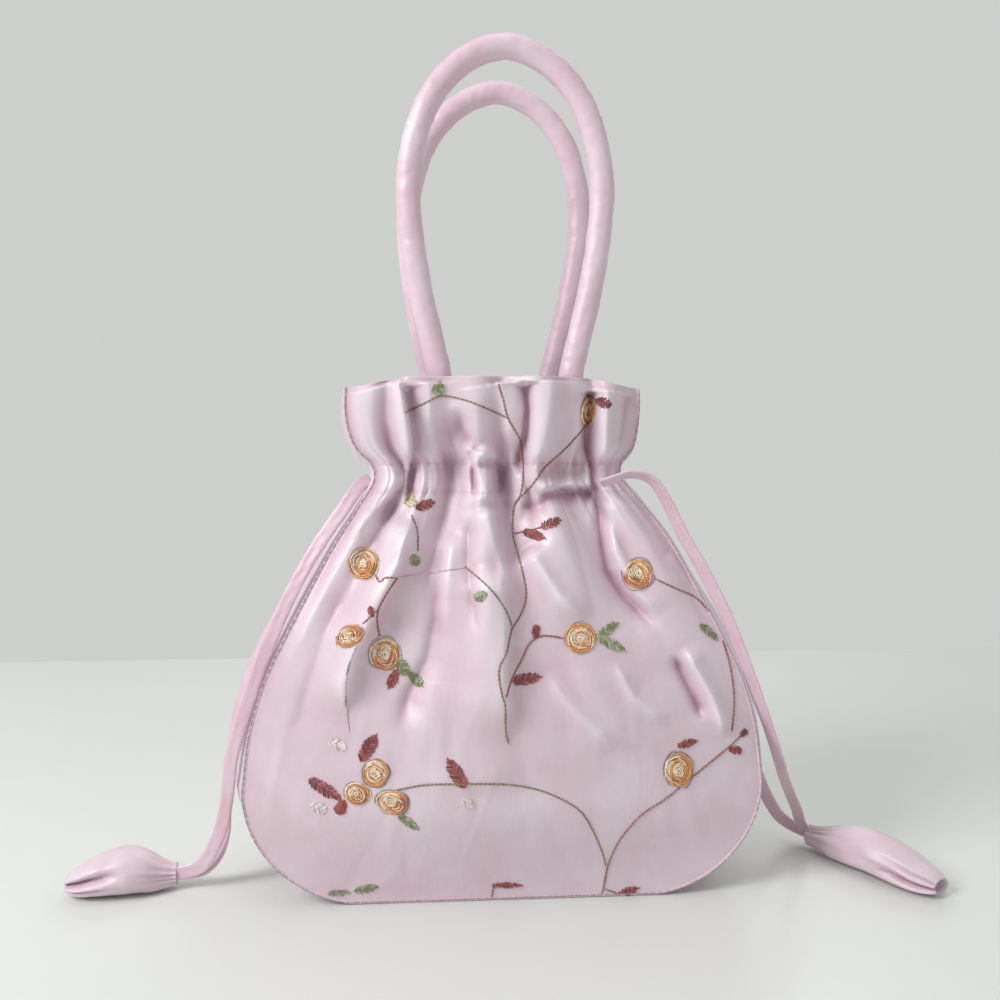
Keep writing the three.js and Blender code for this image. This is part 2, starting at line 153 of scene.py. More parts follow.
def sectionAt(height):
    height = np.asarray(height, float)
    down = np.clip(1 - height / bag["cornerRise"], 0, 1)
    up = (height - bag["cornerRise"]) / (bag["waistHeight"] - bag["cornerRise"])
    frill = (height - bag["waistHeight"]) / bag["frillHeight"]
    inCorner, inFrill = height < bag["cornerRise"], height > bag["waistHeight"]

    def pick(corner, column, waist, body, rim):
        side = waist + (body - waist) * columnAt(sideSections, column, up)
        top = waist + (rim - waist) * columnAt(frillSections, column, frill)
        return np.where(inCorner, corner, np.where(inFrill, top, side))

    cornerWidth = bag["baseHalfWidth"] + (bag["halfWidth"] - bag["baseHalfWidth"]) * np.sqrt(1 - down * down)
    cornerBelly = bag["belly"] * sideSections[0, 3] * ease(height / bag["cornerRise"])
    cornerBulge = bag["gussetBulge"] * sideSections[0, 4] * (1 - down)
    halfWidth = pick(cornerWidth, 1, bag["waistHalfWidth"], bag["halfWidth"], bag["rimHalfWidth"])
    seamDepth = pick(bag["seamDepth"], 2, bag["waistSeamDepth"], bag["seamDepth"], bag["rimSeamDepth"])
    belly = pick(cornerBelly, 3, 0, bag["belly"], bag["belly"])
    bulge = pick(cornerBulge, 4, 0, bag["gussetBulge"], bag["gussetBulge"])
    return halfWidth, seamDepth, belly, bulge


def gatherRelief(gathers, side, height):
    relief = np.zeros(np.broadcast(side, height).shape)
    up = (height - bag["waistHeight"]) / bag["frillHeight"]
    for rim, waist, foot, drop, depth, rimDepth, spread in gathers:
        down = (bag["waistHeight"] - height) / (bag["waistHeight"] * drop)
        above = height > bag["waistHeight"]
        centre = np.where(above, waist + (rim - waist) * up, waist + (foot - waist) * np.clip(down, 0, 1))
        strength = np.where(above, 1 + (rimDepth - 1) * ease(up), 1 - ease(down))
        relief = relief + bag["foldDepth"] * depth * strength * np.exp(-((side - centre) / spread) ** 2)
    return relief * ease((1 - np.abs(side)) / bag["edgeFade"])


def leanAt(height):
    up = (height - bag["waistHeight"] + bag["leanStart"]) / (bag["frillHeight"] + bag["leanReach"])
    return bag["frillLean"] * ease(up)


def dippedHeight(side, height):
    up = np.clip(height - bag["waistHeight"], 0, None) / bag["frillHeight"]
    return height - bag["rimDip"] * up * ease((np.abs(side) - bag["dipStart"]) / (1 - bag["dipStart"]))


# Folds of the front, each along a line in the picture.
# Columns: height of the fold, its reach to the left and right in pixels, how many pixels it
# takes to rise and to die away, and the line.
foldLines = [
    (3.4, 34, 3.5, 1, 26, [(399, 382), (407, 421), (410, 440), (409, 462), (405, 485), (404, 512)]),
    (-2.8, 4, 12, 6, 25, [(406, 384), (412, 421), (414, 440), (413, 462), (409, 485), (408, 515)]),
    (1.6, 12, 14, 1, 20, [(428, 382), (430, 420), (436, 450), (441, 470)]),
    (-4.4, 16, 10, 25, 12, [(455, 405), (462, 430), (474, 447), (484, 456)]),
    (2.6, 5, 8, 8, 12, [(463, 446), (478, 453), (492, 456), (503, 455)]),
    (2.4, 11, 9, 8, 25, [(488, 464), (487, 480), (486, 497), (491, 512)]),
    (-2.4, 5, 6, 10, 15, [(473, 462), (474, 482), (478, 500)]),
    (-2.4, 6, 6, 10, 20, [(503, 462), (502, 482), (499, 500)]),
    (2.0, 14, 12, 1, 25, [(500, 382), (505, 410), (508, 436), (510, 452)]),
    (-4.4, 8, 7, 1, 22, [(526, 382), (529, 408), (527, 432), (521, 455), (519, 478)]),
    (1.8, 14, 22, 1, 20, [(552, 380), (550, 410), (546, 440), (545, 470)]),
    (-3.4, 5, 6, 1, 12, [(591, 392), (588, 420), (588, 446), (594, 468), (595, 492)]),
    (2.0, 9, 10, 1, 20, [(606, 390), (604, 420), (604, 448), (608, 470)]),
    (-1.3, 4, 5, 1, 15, [(628, 396), (624, 425), (620, 452)]),
    (-2.8, 3, 14, 8, 8, [(596, 494), (580, 492), (560, 493), (538, 497)]),
    (1.8, 3, 9, 8, 8, [(538, 489), (560, 485), (580, 484), (596, 486)]),
    (-2.8, 13, 13, 12, 14, [(518, 502), (535, 508), (554, 502)]),
    (1.6, 10, 8, 10, 20, [(405, 470), (390, 493), (365, 520), (352, 540)]),
    (4.0, 28, 9, 20, 50, [(411, 518), (398, 563), (377, 605), (356, 649), (346, 680), (344, 723)]),
    (-1.8, 22, 34, 40, 50, [(402, 585), (392, 640), (386, 680), (388, 722)]),
    (-3.0, 12, 24, 30, 40, [(440, 570), (436, 620), (428, 660), (409, 697), (396, 740)]),
    (4.2, 50, 11, 30, 60, [(497, 560), (503, 620), (502, 680), (506, 745)]),
    (2.4, 10, 11, 10, 40, [(487, 505), (494, 540), (505, 575), (516, 600)]),
    (1.8, 12, 12, 20, 40, [(452, 530), (446, 590), (445, 640)]),
    (-1.8, 9, 10, 20, 40, [(470, 515), (468, 560), (472, 600), (478, 640)]),
    (3.4, 16, 12, 15, 40, [(526, 546), (543, 571), (559, 596), (590, 622)]),
    (-3.2, 8, 8, 10, 30, [(596, 480), (600, 512), (605, 554), (608, 571), (625, 596), (658, 630)]),
    (2.0, 5, 12, 10, 25, [(608, 500), (614, 550), (632, 588), (662, 618)]),
    (-2.4, 6, 5, 18, 18, [(673, 653), (686, 680), (700, 708), (703, 724)]),
    (2.3, 5, 9, 18, 25, [(684, 645), (692, 664), (709, 693), (719, 718), (724, 740)]),
    (1.3, 9, 7, 25, 30, [(545, 672), (574, 710), (595, 729), (620, 748)]),
    (1.3, 8, 7, 22, 25, [(612, 658), (633, 697), (654, 712), (674, 722)]),
    (0.9, 4, 5, 8, 10, [(668, 552), (680, 566), (692, 584)]),
    (1.4, 26, 34, 50, 50, [(395, 772), (440, 779), (480, 777), (530, 768)]),
    (1.2, 30, 30, 50, 50, [(560, 650), (600, 700), (640, 760)]),
    (1.1, 11, 12, 30, 50, [(372, 505), (342, 560), (314, 612), (292, 664)]),
    (-0.9, 10, 11, 30, 50, [(350, 580), (326, 630), (306, 690), (296, 740)]),
]
foldShape = {"gain": 1.75, "sharpness": 1.25, "tip": 0.22}


def lineDistance(across, down, line):
    best = np.full(across.shape, 1e9)
    offset, along = np.zeros(across.shape), np.zeros(across.shape)
    travelled = 0.0
    for (ax, ay), (bx, by) in zip(line[:-1], line[1:]):
        length = math.hypot(bx - ax, by - ay)
        ux, uy = (bx - ax) / length, (by - ay) / length
        reach = np.clip((across - ax) * ux + (down - ay) * uy, 0, length)
        dx, dy = across - ax - reach * ux, down - ay - reach * uy
        distance = np.hypot(dx, dy)
        nearer = distance < best
        best = np.where(nearer, distance, best)
        offset = np.where(nearer, np.sign(ux * dy - uy * dx) * distance, offset)
        along = np.where(nearer, travelled + reach, along)
        travelled += length
    return offset, along, travelled


def foldProfile(distance, reach):
    tip = foldShape["tip"] * reach
    return np.exp(-foldShape["sharpness"] * (np.sqrt(distance * distance + tip * tip) - tip) / reach)


def pictureFolds(across, down):
    relief = np.zeros(across.shape)
    for height, left, right, rise, fall, line in foldLines:
        offset, along, length = lineDistance(across, down, line)
        reach = np.where(offset > 0, left, right)
        strength = ease(along / rise) * ease((length - along) / fall)
        relief += height * strength * foldProfile(offset, reach)
    return relief * foldShape["gain"]


# Fine gathers that fan out from the channel, and loose dents.
gatherLook = {"count": 30, "shortest": 14, "longest": 90, "depth": 1.45, "narrow": 0.014, "wide": 0.034,
              "stitchLow": 166.0, "stitchHigh": 177.5, "stitchPinch": 0.4, "stitchWave": 0.35,
              "stitchReach": 1.5, "channelPleat": 0.16, "channelEdge": 3}
dentLook = {"count": 90, "depth": 0.6, "shortest": 7, "longest": 26, "narrow": 1.6, "wide": 4.2}


def fineGathers(side, height, seed):
    look, maker = gatherLook, random.Random(seed)
    relief = np.zeros(side.shape)
    for k in range(look["count"]):
        start = -0.97 + 1.94 * (k + maker.uniform(0.1, 0.9)) / look["count"]
        depth = look["depth"] * maker.uniform(0.35, 1.0) * maker.choice([-1, -1, 1])
        width = maker.uniform(look["narrow"], look["wide"])
        drift = maker.uniform(-0.05, 0.05)
        drop = look["shortest"] + (look["longest"] - look["shortest"]) * maker.random() ** 2.2
        down = np.clip((look["stitchLow"] - height) / drop, 0, 1)
        up = np.clip((height - look["stitchHigh"]) / maker.uniform(7, 30), 0, 1)
        strength = np.where(height <= look["stitchLow"], 1 - ease(down), 1 - ease(up))
        centre = start + drift * down + 0.6 * drift * up
        spread = width * (1 + 0.9 * down + 0.8 * up)
        relief += depth * strength * np.exp(-np.abs((side - centre) / spread) ** 1.5)
    inside = ease((height - look["stitchLow"]) / look["channelEdge"])
    inside = inside * ease((look["stitchHigh"] - height) / look["channelEdge"])
    wave = np.sin(side * 71 + 2.3 * np.sin(side * 17 + seed)) + 0.6 * np.sin(side * 118 + seed)
    relief += look["channelPleat"] * inside * wave
    for stitched in (look["stitchLow"], look["stitchHigh"]):
        pinch = np.exp(-((height - stitched) / look["stitchReach"]) ** 2)
        relief -= pinch * (look["stitchPinch"] + look["stitchWave"] * np.sin(side * 90 + stitched))
    return relief


def looseDents(x, z, seed):
    maker = random.Random(seed)
    relief = np.zeros(x.shape)
    for k in range(dentLook["count"]):
        middleZ = maker.uniform(18, 158)
        reachX = 0.92 * float(sectionAt(middleZ)[0])
        middleX = maker.uniform(-reachX, reachX)
        slope = math.atan2(middleX * 0.9, 175.0 - middleZ + 40) + maker.uniform(-0.35, 0.35)
        alongX, alongZ = math.sin(slope), -math.cos(slope)
        length = maker.uniform(dentLook["shortest"], dentLook["longest"])
        width = maker.uniform(dentLook["narrow"], dentLook["wide"])
        depth = dentLook["depth"] * maker.uniform(-1, 1) * (0.35 + 0.65 * min(1, middleZ / 110))
        along = ((x - middleX) * alongX + (z - middleZ) * alongZ) / length
        off = ((x - middleX) * -alongZ + (z - middleZ) * alongX) / width
        relief += depth * np.exp(-along * along - off * off)
    return relief


def panelPoints(facing, side, height):
    gathers, seed = (frontGathers, 11) if facing < 0 else (backGathers, 23)
    halfWidth, seamDepth, belly, _ = sectionAt(height)
    depth = seamDepth + belly * (1 - side * side) + gatherRelief(gathers, side, height)
    x, z = side * halfWidth + leanAt(height), dippedHeight(side, height)
    relief = fineGathers(side, height, seed) + looseDents(x, z, seed + 1)
    if facing < 0:
        relief = relief + pictureFolds(*toPhoto(np.stack([x, -depth, z], axis=-1)))
    hold = ease((1 - np.abs(side)) / bag["seamHold"]) * ease(height / bag["baseHold"])
    return np.stack([x, facing * (depth + relief * hold), z], axis=-1)


def addAttribute(mesh, key, values, kind="FLOAT", field="value"):
    made = mesh.attributes.new(key, kind, "POINT")
    made.data.foreach_set(field, np.asarray(values, np.float32).ravel())


def addClothUv(mesh, uv):
    corner = np.zeros(len(mesh.loops), np.int32)
    mesh.loops.foreach_get("vertex_index", corner)
    layer = mesh.uv_layers.new(name="cloth")
    layer.data.foreach_set("uv", np.asarray(uv, np.float32)[corner].ravel())


def clothObject(name, points, faces, material, uv, fold):
    mesh = bpy.data.meshes.new(name)
    mesh.from_pydata((points * toMetres).tolist(), [], faces)
    mesh.polygons.foreach_set("use_smooth", [True] * len(mesh.polygons))
    addClothUv(mesh, uv * toMetres)
    # This value drives the painted fold shade of the satin: low values are painted deeper pink.
    addAttribute(mesh, "foldDepth", fold)
    mesh.materials.append(material)
    mesh.validate()
    mesh.update()
    return addObject(name, mesh)


# A wall of cloth: a fine outer side, an inner side at every third point, and the edges between them.
def clothShell(name, outer, inner, uv, fold, material, turned, step=3):
    rows, columns = outer.shape[:2]
    innerRows, innerColumns = inner.shape[:2]
    start = rows * columns
    faces = []

    def out(i, j):
        return i * columns + j

    def back(i, j):
        return start + i * innerColumns + j

    for i in range(rows - 1):
        for j in range(columns - 1):
            faces.append((out(i, j), out(i, j + 1), out(i + 1, j + 1), out(i + 1, j)))
    for i in range(innerRows - 1):
        for j in range(innerColumns - 1):
            faces.append((back(i, j), back(i + 1, j), back(i + 1, j + 1), back(i, j + 1)))
        low = [out(i * step + k, 0) for k in range(step + 1)]
        faces.append((*low, back(i + 1, 0), back(i, 0)))
        high = [out(i * step + k, columns - 1) for k in range(step, -1, -1)]
        faces.append((*high, back(i, innerColumns - 1), back(i + 1, innerColumns - 1)))
    for j in range(innerColumns - 1):
        low = [out(0, j * step + k) for k in range(step, -1, -1)]
        faces.append((*low, back(0, j), back(0, j + 1)))
        high = [out(rows - 1, j * step + k) for k in range(step + 1)]
        faces.append((*high, back(innerRows - 1, j + 1), back(innerRows - 1, j)))
    if turned:
        faces = [face[::-1] for face in faces]
    points = np.concatenate([outer.reshape(-1, 3), inner.reshape(-1, 3)])
    uv = np.concatenate([uv.reshape(-1, 2), uv[::step, ::step].reshape(-1, 2)])
    # The inner side gets a level value for the painted fold shade.
    fold = np.concatenate([fold.ravel(), np.zeros(innerRows * innerColumns)])
    return clothObject(name, points, faces, material, uv, fold)


# How far each point stands above the smoothed cloth around it; this sets the painted fold shade.
def localLift(relief, passes):
    wide = relief.copy()
    for _ in range(passes):
        padded = np.pad(wide, 1, mode="edge")
        wide = (padded[:-2, 1:-1] + padded[2:, 1:-1] + padded[1:-1, :-2] + padded[1:-1, 2:]) / 4
    return relief - wide


panelMesh = {"frontRows": 300, "frontColumns": 270, "backRows": 210, "backColumns": 198, "wall": 1.3,
             "rimWall": 0.9, "rimReach": 8, "liftPasses": 60}


def heightRows(rows, corner):
    low = bag["cornerRise"] * (1 - np.cos(np.linspace(0, math.pi / 2, corner + 1)))
    high = np.linspace(bag["cornerRise"], bag["height"], rows - corner + 1)[1:]
    return np.concatenate([low, high])


def addPanel(name, facing, rows, columns, material):
    side, height = np.meshgrid(np.linspace(-1, 1, columns + 1), heightRows(rows, rows // 5 // 3 * 3))
    outer = panelPoints(facing, side, height)
    inner = outer[::3, ::3].copy()
    wall = np.where(height > bag["height"] - panelMesh["rimReach"], panelMesh["rimWall"], panelMesh["wall"])
    inner[..., 1] -= facing * wall[::3, ::3]
    flatHalf = np.where(height > bag["cornerRise"], bag["halfWidth"], sectionAt(height)[0])
    climb = runAlong(outer[:, columns // 2, 1:])
    uv = np.stack([side * flatHalf, np.broadcast_to(climb[:, None], side.shape)], axis=-1)
    # Painted shade: points sunk below the cloth around them, in fold valleys, are painted deeper pink, and
    # ridges keep the satin's own colour.
    fold = localLift(np.abs(outer[..., 1]), panelMesh["liftPasses"])
    return clothShell(name, outer, inner, uv, fold, material, facing > 0)


# Helpers for nodes: a value that is a socket is linked, and any other is set.
def fill(tree, node, values):
    for key, value in values.items():
        if isinstance(value, bpy.types.NodeSocket):
            tree.links.new(value, node.inputs[key])
        else:
            node.inputs[key].default_value = value
    return node


def addNode(tree, kind, values=None, **settings):
    made = tree.nodes.new(kind)
    for key, value in settings.items():
        setattr(made, key, value)
    return fill(tree, made, values or {})


def mathNode(tree, operation, first, second=None):
    values = {0: first} if second is None else {0: first, 1: second}
    return addNode(tree, "ShaderNodeMath", values, operation=operation).outputs[0]


def linear(hexColour):
    parts = [int(hexColour[i:i + 2], 16) / 255 for i in (0, 2, 4)]
    return [((p + 0.055) / 1.055) ** 2.4 if p > 0.04045 else p / 12.92 for p in parts] + [1.0]


def ranged(tree, value, given, wanted):
    return addNode(tree, "ShaderNodeMapRange", {"Value": value, "From Min": given[0], "From Max": given[1],
                                               "To Min": wanted[0], "To Max": wanted[1]}).outputs[0]


def noise(tree, place, scale, detail, roughness=0.5, distortion=0.0):
    return addNode(tree, "ShaderNodeTexNoise", {"Vector": place, "Scale": scale, "Detail": detail,
                                               "Roughness": roughness, "Distortion": distortion}).outputs[0]


def bumpOf(tree, height, strength, distance, normal=None):
    values = {"Height": height, "Strength": strength, "Distance": distance}
    if normal:
        values["Normal"] = normal
    return addNode(tree, "ShaderNodeBump", values).outputs[0]


def blend(tree, share, first, second):  # a Mix node's colours are its inputs 6 and 7 and its output 2
    return addNode(tree, "ShaderNodeMix", {0: share, 6: first, 7: second}, data_type="RGBA").outputs[2]


# Materials. Pitches and lengths of the cloth are in millimetres, bump distances in metres.
# The deep colour is painted shade and painted reflected pink light. The satin is tinted towards it in fold
# valleys, creases and hollows. The light colour is the satin's own colour.
satinLook = {"light": "e6d6dd", "deep": "bf8fa1", "glow": "ebe4ee", "roughness": 0.33, "anisotropy": 0.5,
             "sheen": 0.22, "sheenTint": "f3e6f5", "gloss": 0.62, "slubPitch": 0.55, "slubLength": 14.0,
             "slubGlow": 0.22, "weavePitch": 0.42, "slubBump": 0.2, "weaveBump": 0.08, "wrinkleBump": 0.35}


def satinMaterial(name, changes=None):
    look = dict(satinLook, **(changes or {}))
    material = bpy.data.materials.new(name)
    material.use_nodes = True
    tree = material.node_tree
    tree.nodes.clear()
    uv = addNode(tree, "ShaderNodeUVMap", uv_map="cloth").outputs[0]
    place = addNode(tree, "ShaderNodeTexCoord").outputs["Object"]
    parts = addNode(tree, "ShaderNodeSeparateXYZ", {0: uv})
    slubScale = (1000 / look["slubPitch"], 1000 / look["slubLength"], 1)
    slub = noise(tree, addNode(tree, "ShaderNodeMapping", {"Vector": uv, "Scale": slubScale}).outputs[0],
                 1.0, 3.0, 0.6)
    turn = 2000 * math.pi / look["weavePitch"]
    warp = mathNode(tree, "SINE", mathNode(tree, "MULTIPLY", parts.outputs[0], turn))
    weft = mathNode(tree, "SINE", mathNode(tree, "MULTIPLY", parts.outputs[1], turn * 0.8))
    weave = mathNode(tree, "MULTIPLY", warp, weft)
    # Painted shade: where the fold value is low, in valleys, creases and hollows, the colour is blended towards
    # the deep pink.
    fold = addNode(tree, "ShaderNodeAttribute", attribute_name="foldDepth").outputs["Fac"]
    hollow = ranged(tree, fold, (-2.2, 1.6), (1.0, 0.0))
    deep = blend(tree, hollow, linear(look["light"]), linear(look["deep"]))
    cloud = ranged(tree, noise(tree, place, 38.0, 4.0, 0.55, 0.4), (0.35, 0.7), (0.0, 0.35))
    glowShare = mathNode(tree, "ADD", cloud, mathNode(tree, "MULTIPLY", slub, look["slubGlow"]))
    slubBump = bumpOf(tree, slub, look["slubBump"], 0.0003)
    weaveBump = bumpOf(tree, weave, look["weaveBump"], 0.0001, slubBump)
    surface = addNode(tree, "ShaderNodeBsdfPrincipled", {
        "Base Color": blend(tree, glowShare, deep, linear(look["glow"])),
        "Roughness": ranged(tree, slub, (0.25, 0.75), (look["roughness"] - 0.05, look["roughness"] + 0.07)),
        "Normal": bumpOf(tree, noise(tree, place, 210.0, 3.0), look["wrinkleBump"], 0.0004, weaveBump),
        "Tangent": addNode(tree, "ShaderNodeTangent", direction_type="UV_MAP", uv_map="cloth").outputs[0],
        "Anisotropic": look["anisotropy"], "Sheen Weight": look["sheen"], "Sheen Roughness": 0.35,
        "Sheen Tint": linear(look["sheenTint"]), "Specular IOR Level": look["gloss"]})
    addNode(tree, "ShaderNodeOutputMaterial", {0: surface.outputs[0]})
    return material


def threadMaterial():
    material = bpy.data.materials.new("embroideryThread")
    material.use_nodes = True
    tree = material.node_tree
    tint = addNode(tree, "ShaderNodeAttribute", attribute_name="tint").outputs["Color"]
    place = addNode(tree, "ShaderNodeTexCoord").outputs["Object"]
    grain = noise(tree, place, 900.0, 2.0)
    shade = ranged(tree, grain, (0.3, 0.7), (0.78, 1.12))
    colour = addNode(tree, "ShaderNodeVectorMath", {0: tint, "Scale": shade}, operation="SCALE").outputs[0]
    fill(tree, tree.nodes["Principled BSDF"], {
        "Base Color": colour, "Normal": bumpOf(tree, grain, 0.4, 0.0001), "Roughness": 0.42,
        "Sheen Weight": 0.25})
    return material


satinFront = satinMaterial("satinFront")
satinBack = satinMaterial("satinBack")
satinGusset = satinMaterial("satinGusset")
satinHandle = satinMaterial("satinHandle", {"light": "edd0dc", "roughness": 0.34, "slubLength": 5.0})
satinStrand = satinMaterial("satinStrand", {"light": "e6c2d0", "slubLength": 6.0})
satinEnd = satinMaterial("satinEnd", {"slubLength": 8.0})
thread = threadMaterial()
print("materials made")

front = addPanel("satin_front", -1, panelMesh["frontRows"], panelMesh["frontColumns"], satinFront)
back = addPanel("satin_back", 1, panelMesh["backRows"], panelMesh["backColumns"], satinBack)
print("front and back walls made", len(front.data.polygons), len(back.data.polygons))


# Gusset: one strip down the left side, across the base and up the right side.
gussetLook = {"sideSteps": 240, "baseSteps": 60, "columns": 39, "wall": 1.3, "tuck": 0.9, "ripples": 9,
              "ripple": 1.8, "rippleHeight": 171, "rippleReach": 13, "creases": 26, "crease": 0.55,
              "liftPasses": 12, "baseHold": 12}


def seamLine(sideSteps, baseSteps):
    heights = heightRows(sideSteps, sideSteps // 4)
    x, z = sectionAt(heights)[0], dippedHeight(np.ones(heights.shape), heights)
    baseX = np.linspace(-bag["baseHalfWidth"], bag["baseHalfWidth"], baseSteps + 1)[1:-1]
    flat = np.zeros(baseX.shape)
    hs = np.concatenate([heights[::-1], flat, heights])
    return np.concatenate([-x[::-1], baseX, x]) + leanAt(hs), np.concatenate([z[::-1], flat, z]), hs


def outwardOf(xs, zs):
    dx, dz = np.gradient(xs), np.gradient(zs)
    length = np.hypot(dx, dz)
    outX, outZ = dz / length, -dx / length
    flat = zs <= 0
    return np.where(flat, 0, outX), np.where(flat, -1, outZ)


def addGusset():
    look, maker = gussetLook, random.Random(5)
    xs, zs, hs = seamLine(look["sideSteps"], look["baseSteps"])
    outX, outZ = [part[:, None] for part in outwardOf(xs, zs)]
    _, seamDepth, _, bulge = sectionAt(hs)
    across = np.linspace(-1, 1, look["columns"] + 1)[None, :]
    proud = bulge[:, None] * (1 - across * across)
    waist = np.exp(-((hs - look["rippleHeight"]) / look["rippleReach"]) ** 2)[:, None]
    ripple, crease = np.zeros(proud.shape), np.zeros(proud.shape)
    for k in range(look["ripples"]):
        centre, width = maker.uniform(-0.9, 0.9), maker.uniform(0.06, 0.16)
        ripple += maker.uniform(-1, 1) * np.exp(-((across - centre) / width) ** 2)
    for k in range(look["creases"]):
        middle, spread = maker.uniform(30, 150), maker.uniform(3, 9)
        centre, width = maker.uniform(-0.8, 0.8), maker.uniform(0.15, 0.5)
        onSide = (np.sign(xs) == maker.choice([-1, 1]))[:, None]
        shape = np.exp(-((hs[:, None] - middle) / spread) ** 2 - ((across - centre) / width) ** 2)
        crease += onSide * look["crease"] * maker.uniform(-1, 1) * shape
    hold = (1 - across ** 8) * ease(hs / look["baseHold"])[:, None]
    proud = proud + (look["ripple"] * ripple * waist + crease) * hold
    edge = across * (seamDepth - look["tuck"])[:, None]
    outer = np.stack([xs[:, None] + outX * proud, edge, np.maximum(zs[:, None] + outZ * proud, 0)], axis=-1)
    wall = look["wall"] * np.stack([outX, np.zeros(outX.shape), outZ], axis=-1)
    inner = (outer - wall)[::3, ::3]
    run = runAlong(np.stack([xs, zs], axis=1))
    uv = np.stack([np.broadcast_to(across * bag["seamDepth"], proud.shape),
                   np.broadcast_to(run[:, None], proud.shape)], axis=-1)
    # Painted shade: gusset hollows sunk below the cloth around them are painted deeper pink.
    fold = localLift(proud, look["liftPasses"]) * 1.5
    return clothShell("satin_gusset", outer, inner, uv, fold, satinGusset, False)


gusset = addGusset()
print("gusset made")


# Curves that the cords and handles follow.
def curveThrough(points, count):
    points = np.asarray(points, float)
    ends = np.concatenate([[2 * points[0] - points[1]], points, [2 * points[-1] - points[-2]]])
    made = []
    for k in range(1, len(ends) - 2):
        p0, p1, p2, p3 = ends[k - 1:k + 3]
        d0 = max(np.linalg.norm(p1 - p0) ** 0.5, 1e-4)
        d1 = max(np.linalg.norm(p2 - p1) ** 0.5, 1e-4)
        d2 = max(np.linalg.norm(p3 - p2) ** 0.5, 1e-4)
        m1 = ((p1 - p0) / d0 - (p2 - p0) / (d0 + d1) + (p2 - p1) / d1) * d1
        m2 = ((p2 - p1) / d1 - (p3 - p1) / (d1 + d2) + (p3 - p2) / d2) * d1
        t = np.linspace(0, 1, 40, endpoint=False)[:, None]
        made.append((2 * t ** 3 - 3 * t ** 2 + 1) * p1 + (t ** 3 - 2 * t ** 2 + t) * m1
                    + (-2 * t ** 3 + 3 * t ** 2) * p2 + (t ** 3 - t ** 2) * m2)
    dense = np.concatenate(made + [points[-1:]])
    run = runAlong(dense)
    return pointsAt(dense, run, np.linspace(0, run[-1], count)), run[-1]


def framesAlong(path):
    tangents = np.gradient(path, axis=0)
    tangents /= np.linalg.norm(tangents, axis=1)[:, None]
    least = np.eye(3)[int(np.argmin(np.abs(tangents[0])))]
    side = np.cross(tangents[0], least)
    side /= np.linalg.norm(side)
    normals = [np.cross(tangents[0], side)]
    for before, after in zip(tangents[:-1], tangents[1:]):
        moved = normals[-1] - after * np.dot(normals[-1], after)
        normals.append(moved / np.linalg.norm(moved))
    normals = np.array(normals)
    return normals, np.cross(tangents, normals)


def pipeFaces(rings, sides):
    faces = []
    for i in range(rings - 1):
        for j in range(sides):
            k = (j + 1) % sides
            faces.append((i * sides + j, i * sides + k, (i + 1) * sides + k, (i + 1) * sides + j))
    faces.append(tuple(range(sides - 1, -1, -1)))
    faces.append(tuple((rings - 1) * sides + j for j in range(sides)))
    return faces


# Handles: padded satin tubes, made along their own line.
handleLook = {"radius": 5.0, "rise": 129, "spread": 38.4, "topDepth": 26, "footInset": 0.45 * 38,
              "footHalf": 26.3, "gap": 0.8, "backShift": -3.5, "wall": 2, "rings": 420, "sides": 30,
              "pucker": 0.55, "seamDip": 0.6}
handleShape = [(0.12, 0.77), (0.25, 0.87), (0.42, 0.965), (0.58, 1.0), (0.72, 0.93), (0.84, 0.775),
               (0.93, 0.53), (0.98, 0.27)]


def footDepth(gathers, footX, height):
    halfWidth, seamDepth, belly, _ = sectionAt(height)
    clear = []
    for across in (-1, -0.75, -0.4, 0, 0.4, 0.75, 1):
        share = (footX + across * handleLook["radius"]) / halfWidth
        reach = handleLook["radius"] * math.sqrt(1 - across * across)
        depth = seamDepth + belly * (1 - share * share) + gatherRelief(gathers, share, np.asarray(height))
        clear.append(float(depth) - handleLook["wall"] - handleLook["gap"] - reach)
    return min(clear)


def handleLine(gathers, facing, shift):
    def sidePoints(hand):
        footX = hand * handleLook["footHalf"] + shift
        feet = []
        for below in (-handleLook["footInset"], -handleLook["footInset"] / 2, 0):
            height = bag["height"] + below
            feet.append((footX, facing * footDepth(gathers, footX, height), height))
        seat = abs(feet[2][1])
        above = [(hand * handleLook["spread"] * out + shift * (1 - rise),
                  facing * (seat + (handleLook["topDepth"] - seat) * float(ease(rise))),
                  bag["height"] + handleLook["rise"] * rise) for rise, out in handleShape]
        return feet + above
    top = (0, facing * handleLook["topDepth"], bag["height"] + handleLook["rise"])
    return curveThrough(sidePoints(-1) + [top] + sidePoints(1)[::-1], handleLook["rings"])[0]


def newTree(name, inputs, output):
    tree = bpy.data.node_groups.new(name, "GeometryNodeTree")
    sockets = {}
    for key, kind in inputs.items():
        sockets[key] = tree.interface.new_socket(name=key, in_out="INPUT", socket_type="NodeSocket" + kind)
    tree.interface.new_socket(name=output, in_out="OUTPUT", socket_type="NodeSocketGeometry")
    return tree, sockets, addNode(tree, "NodeGroupInput").outputs


def endTree(tree, geometry, material):
    smooth = addNode(tree, "GeometryNodeSetShadeSmooth", {"Geometry": geometry}).outputs[0]
    real = addNode(tree, "GeometryNodeRealizeInstances", {"Geometry": smooth}).outputs[0]
    finish = addNode(tree, "GeometryNodeSetMaterial", {"Geometry": real, "Material": material}).outputs[0]
    addNode(tree, "NodeGroupOutput", {0: finish})


def keptAs(tree, geometry, name, value):
    values = {"Geometry": geometry, "Name": name, "Value": value}
    return addNode(tree, "GeometryNodeStoreNamedAttribute", values, data_type="FLOAT",
                   domain="POINT").outputs[0]


def named(tree, name):
    return addNode(tree, "GeometryNodeInputNamedAttribute", {"Name": name}, data_type="FLOAT").outputs[0]


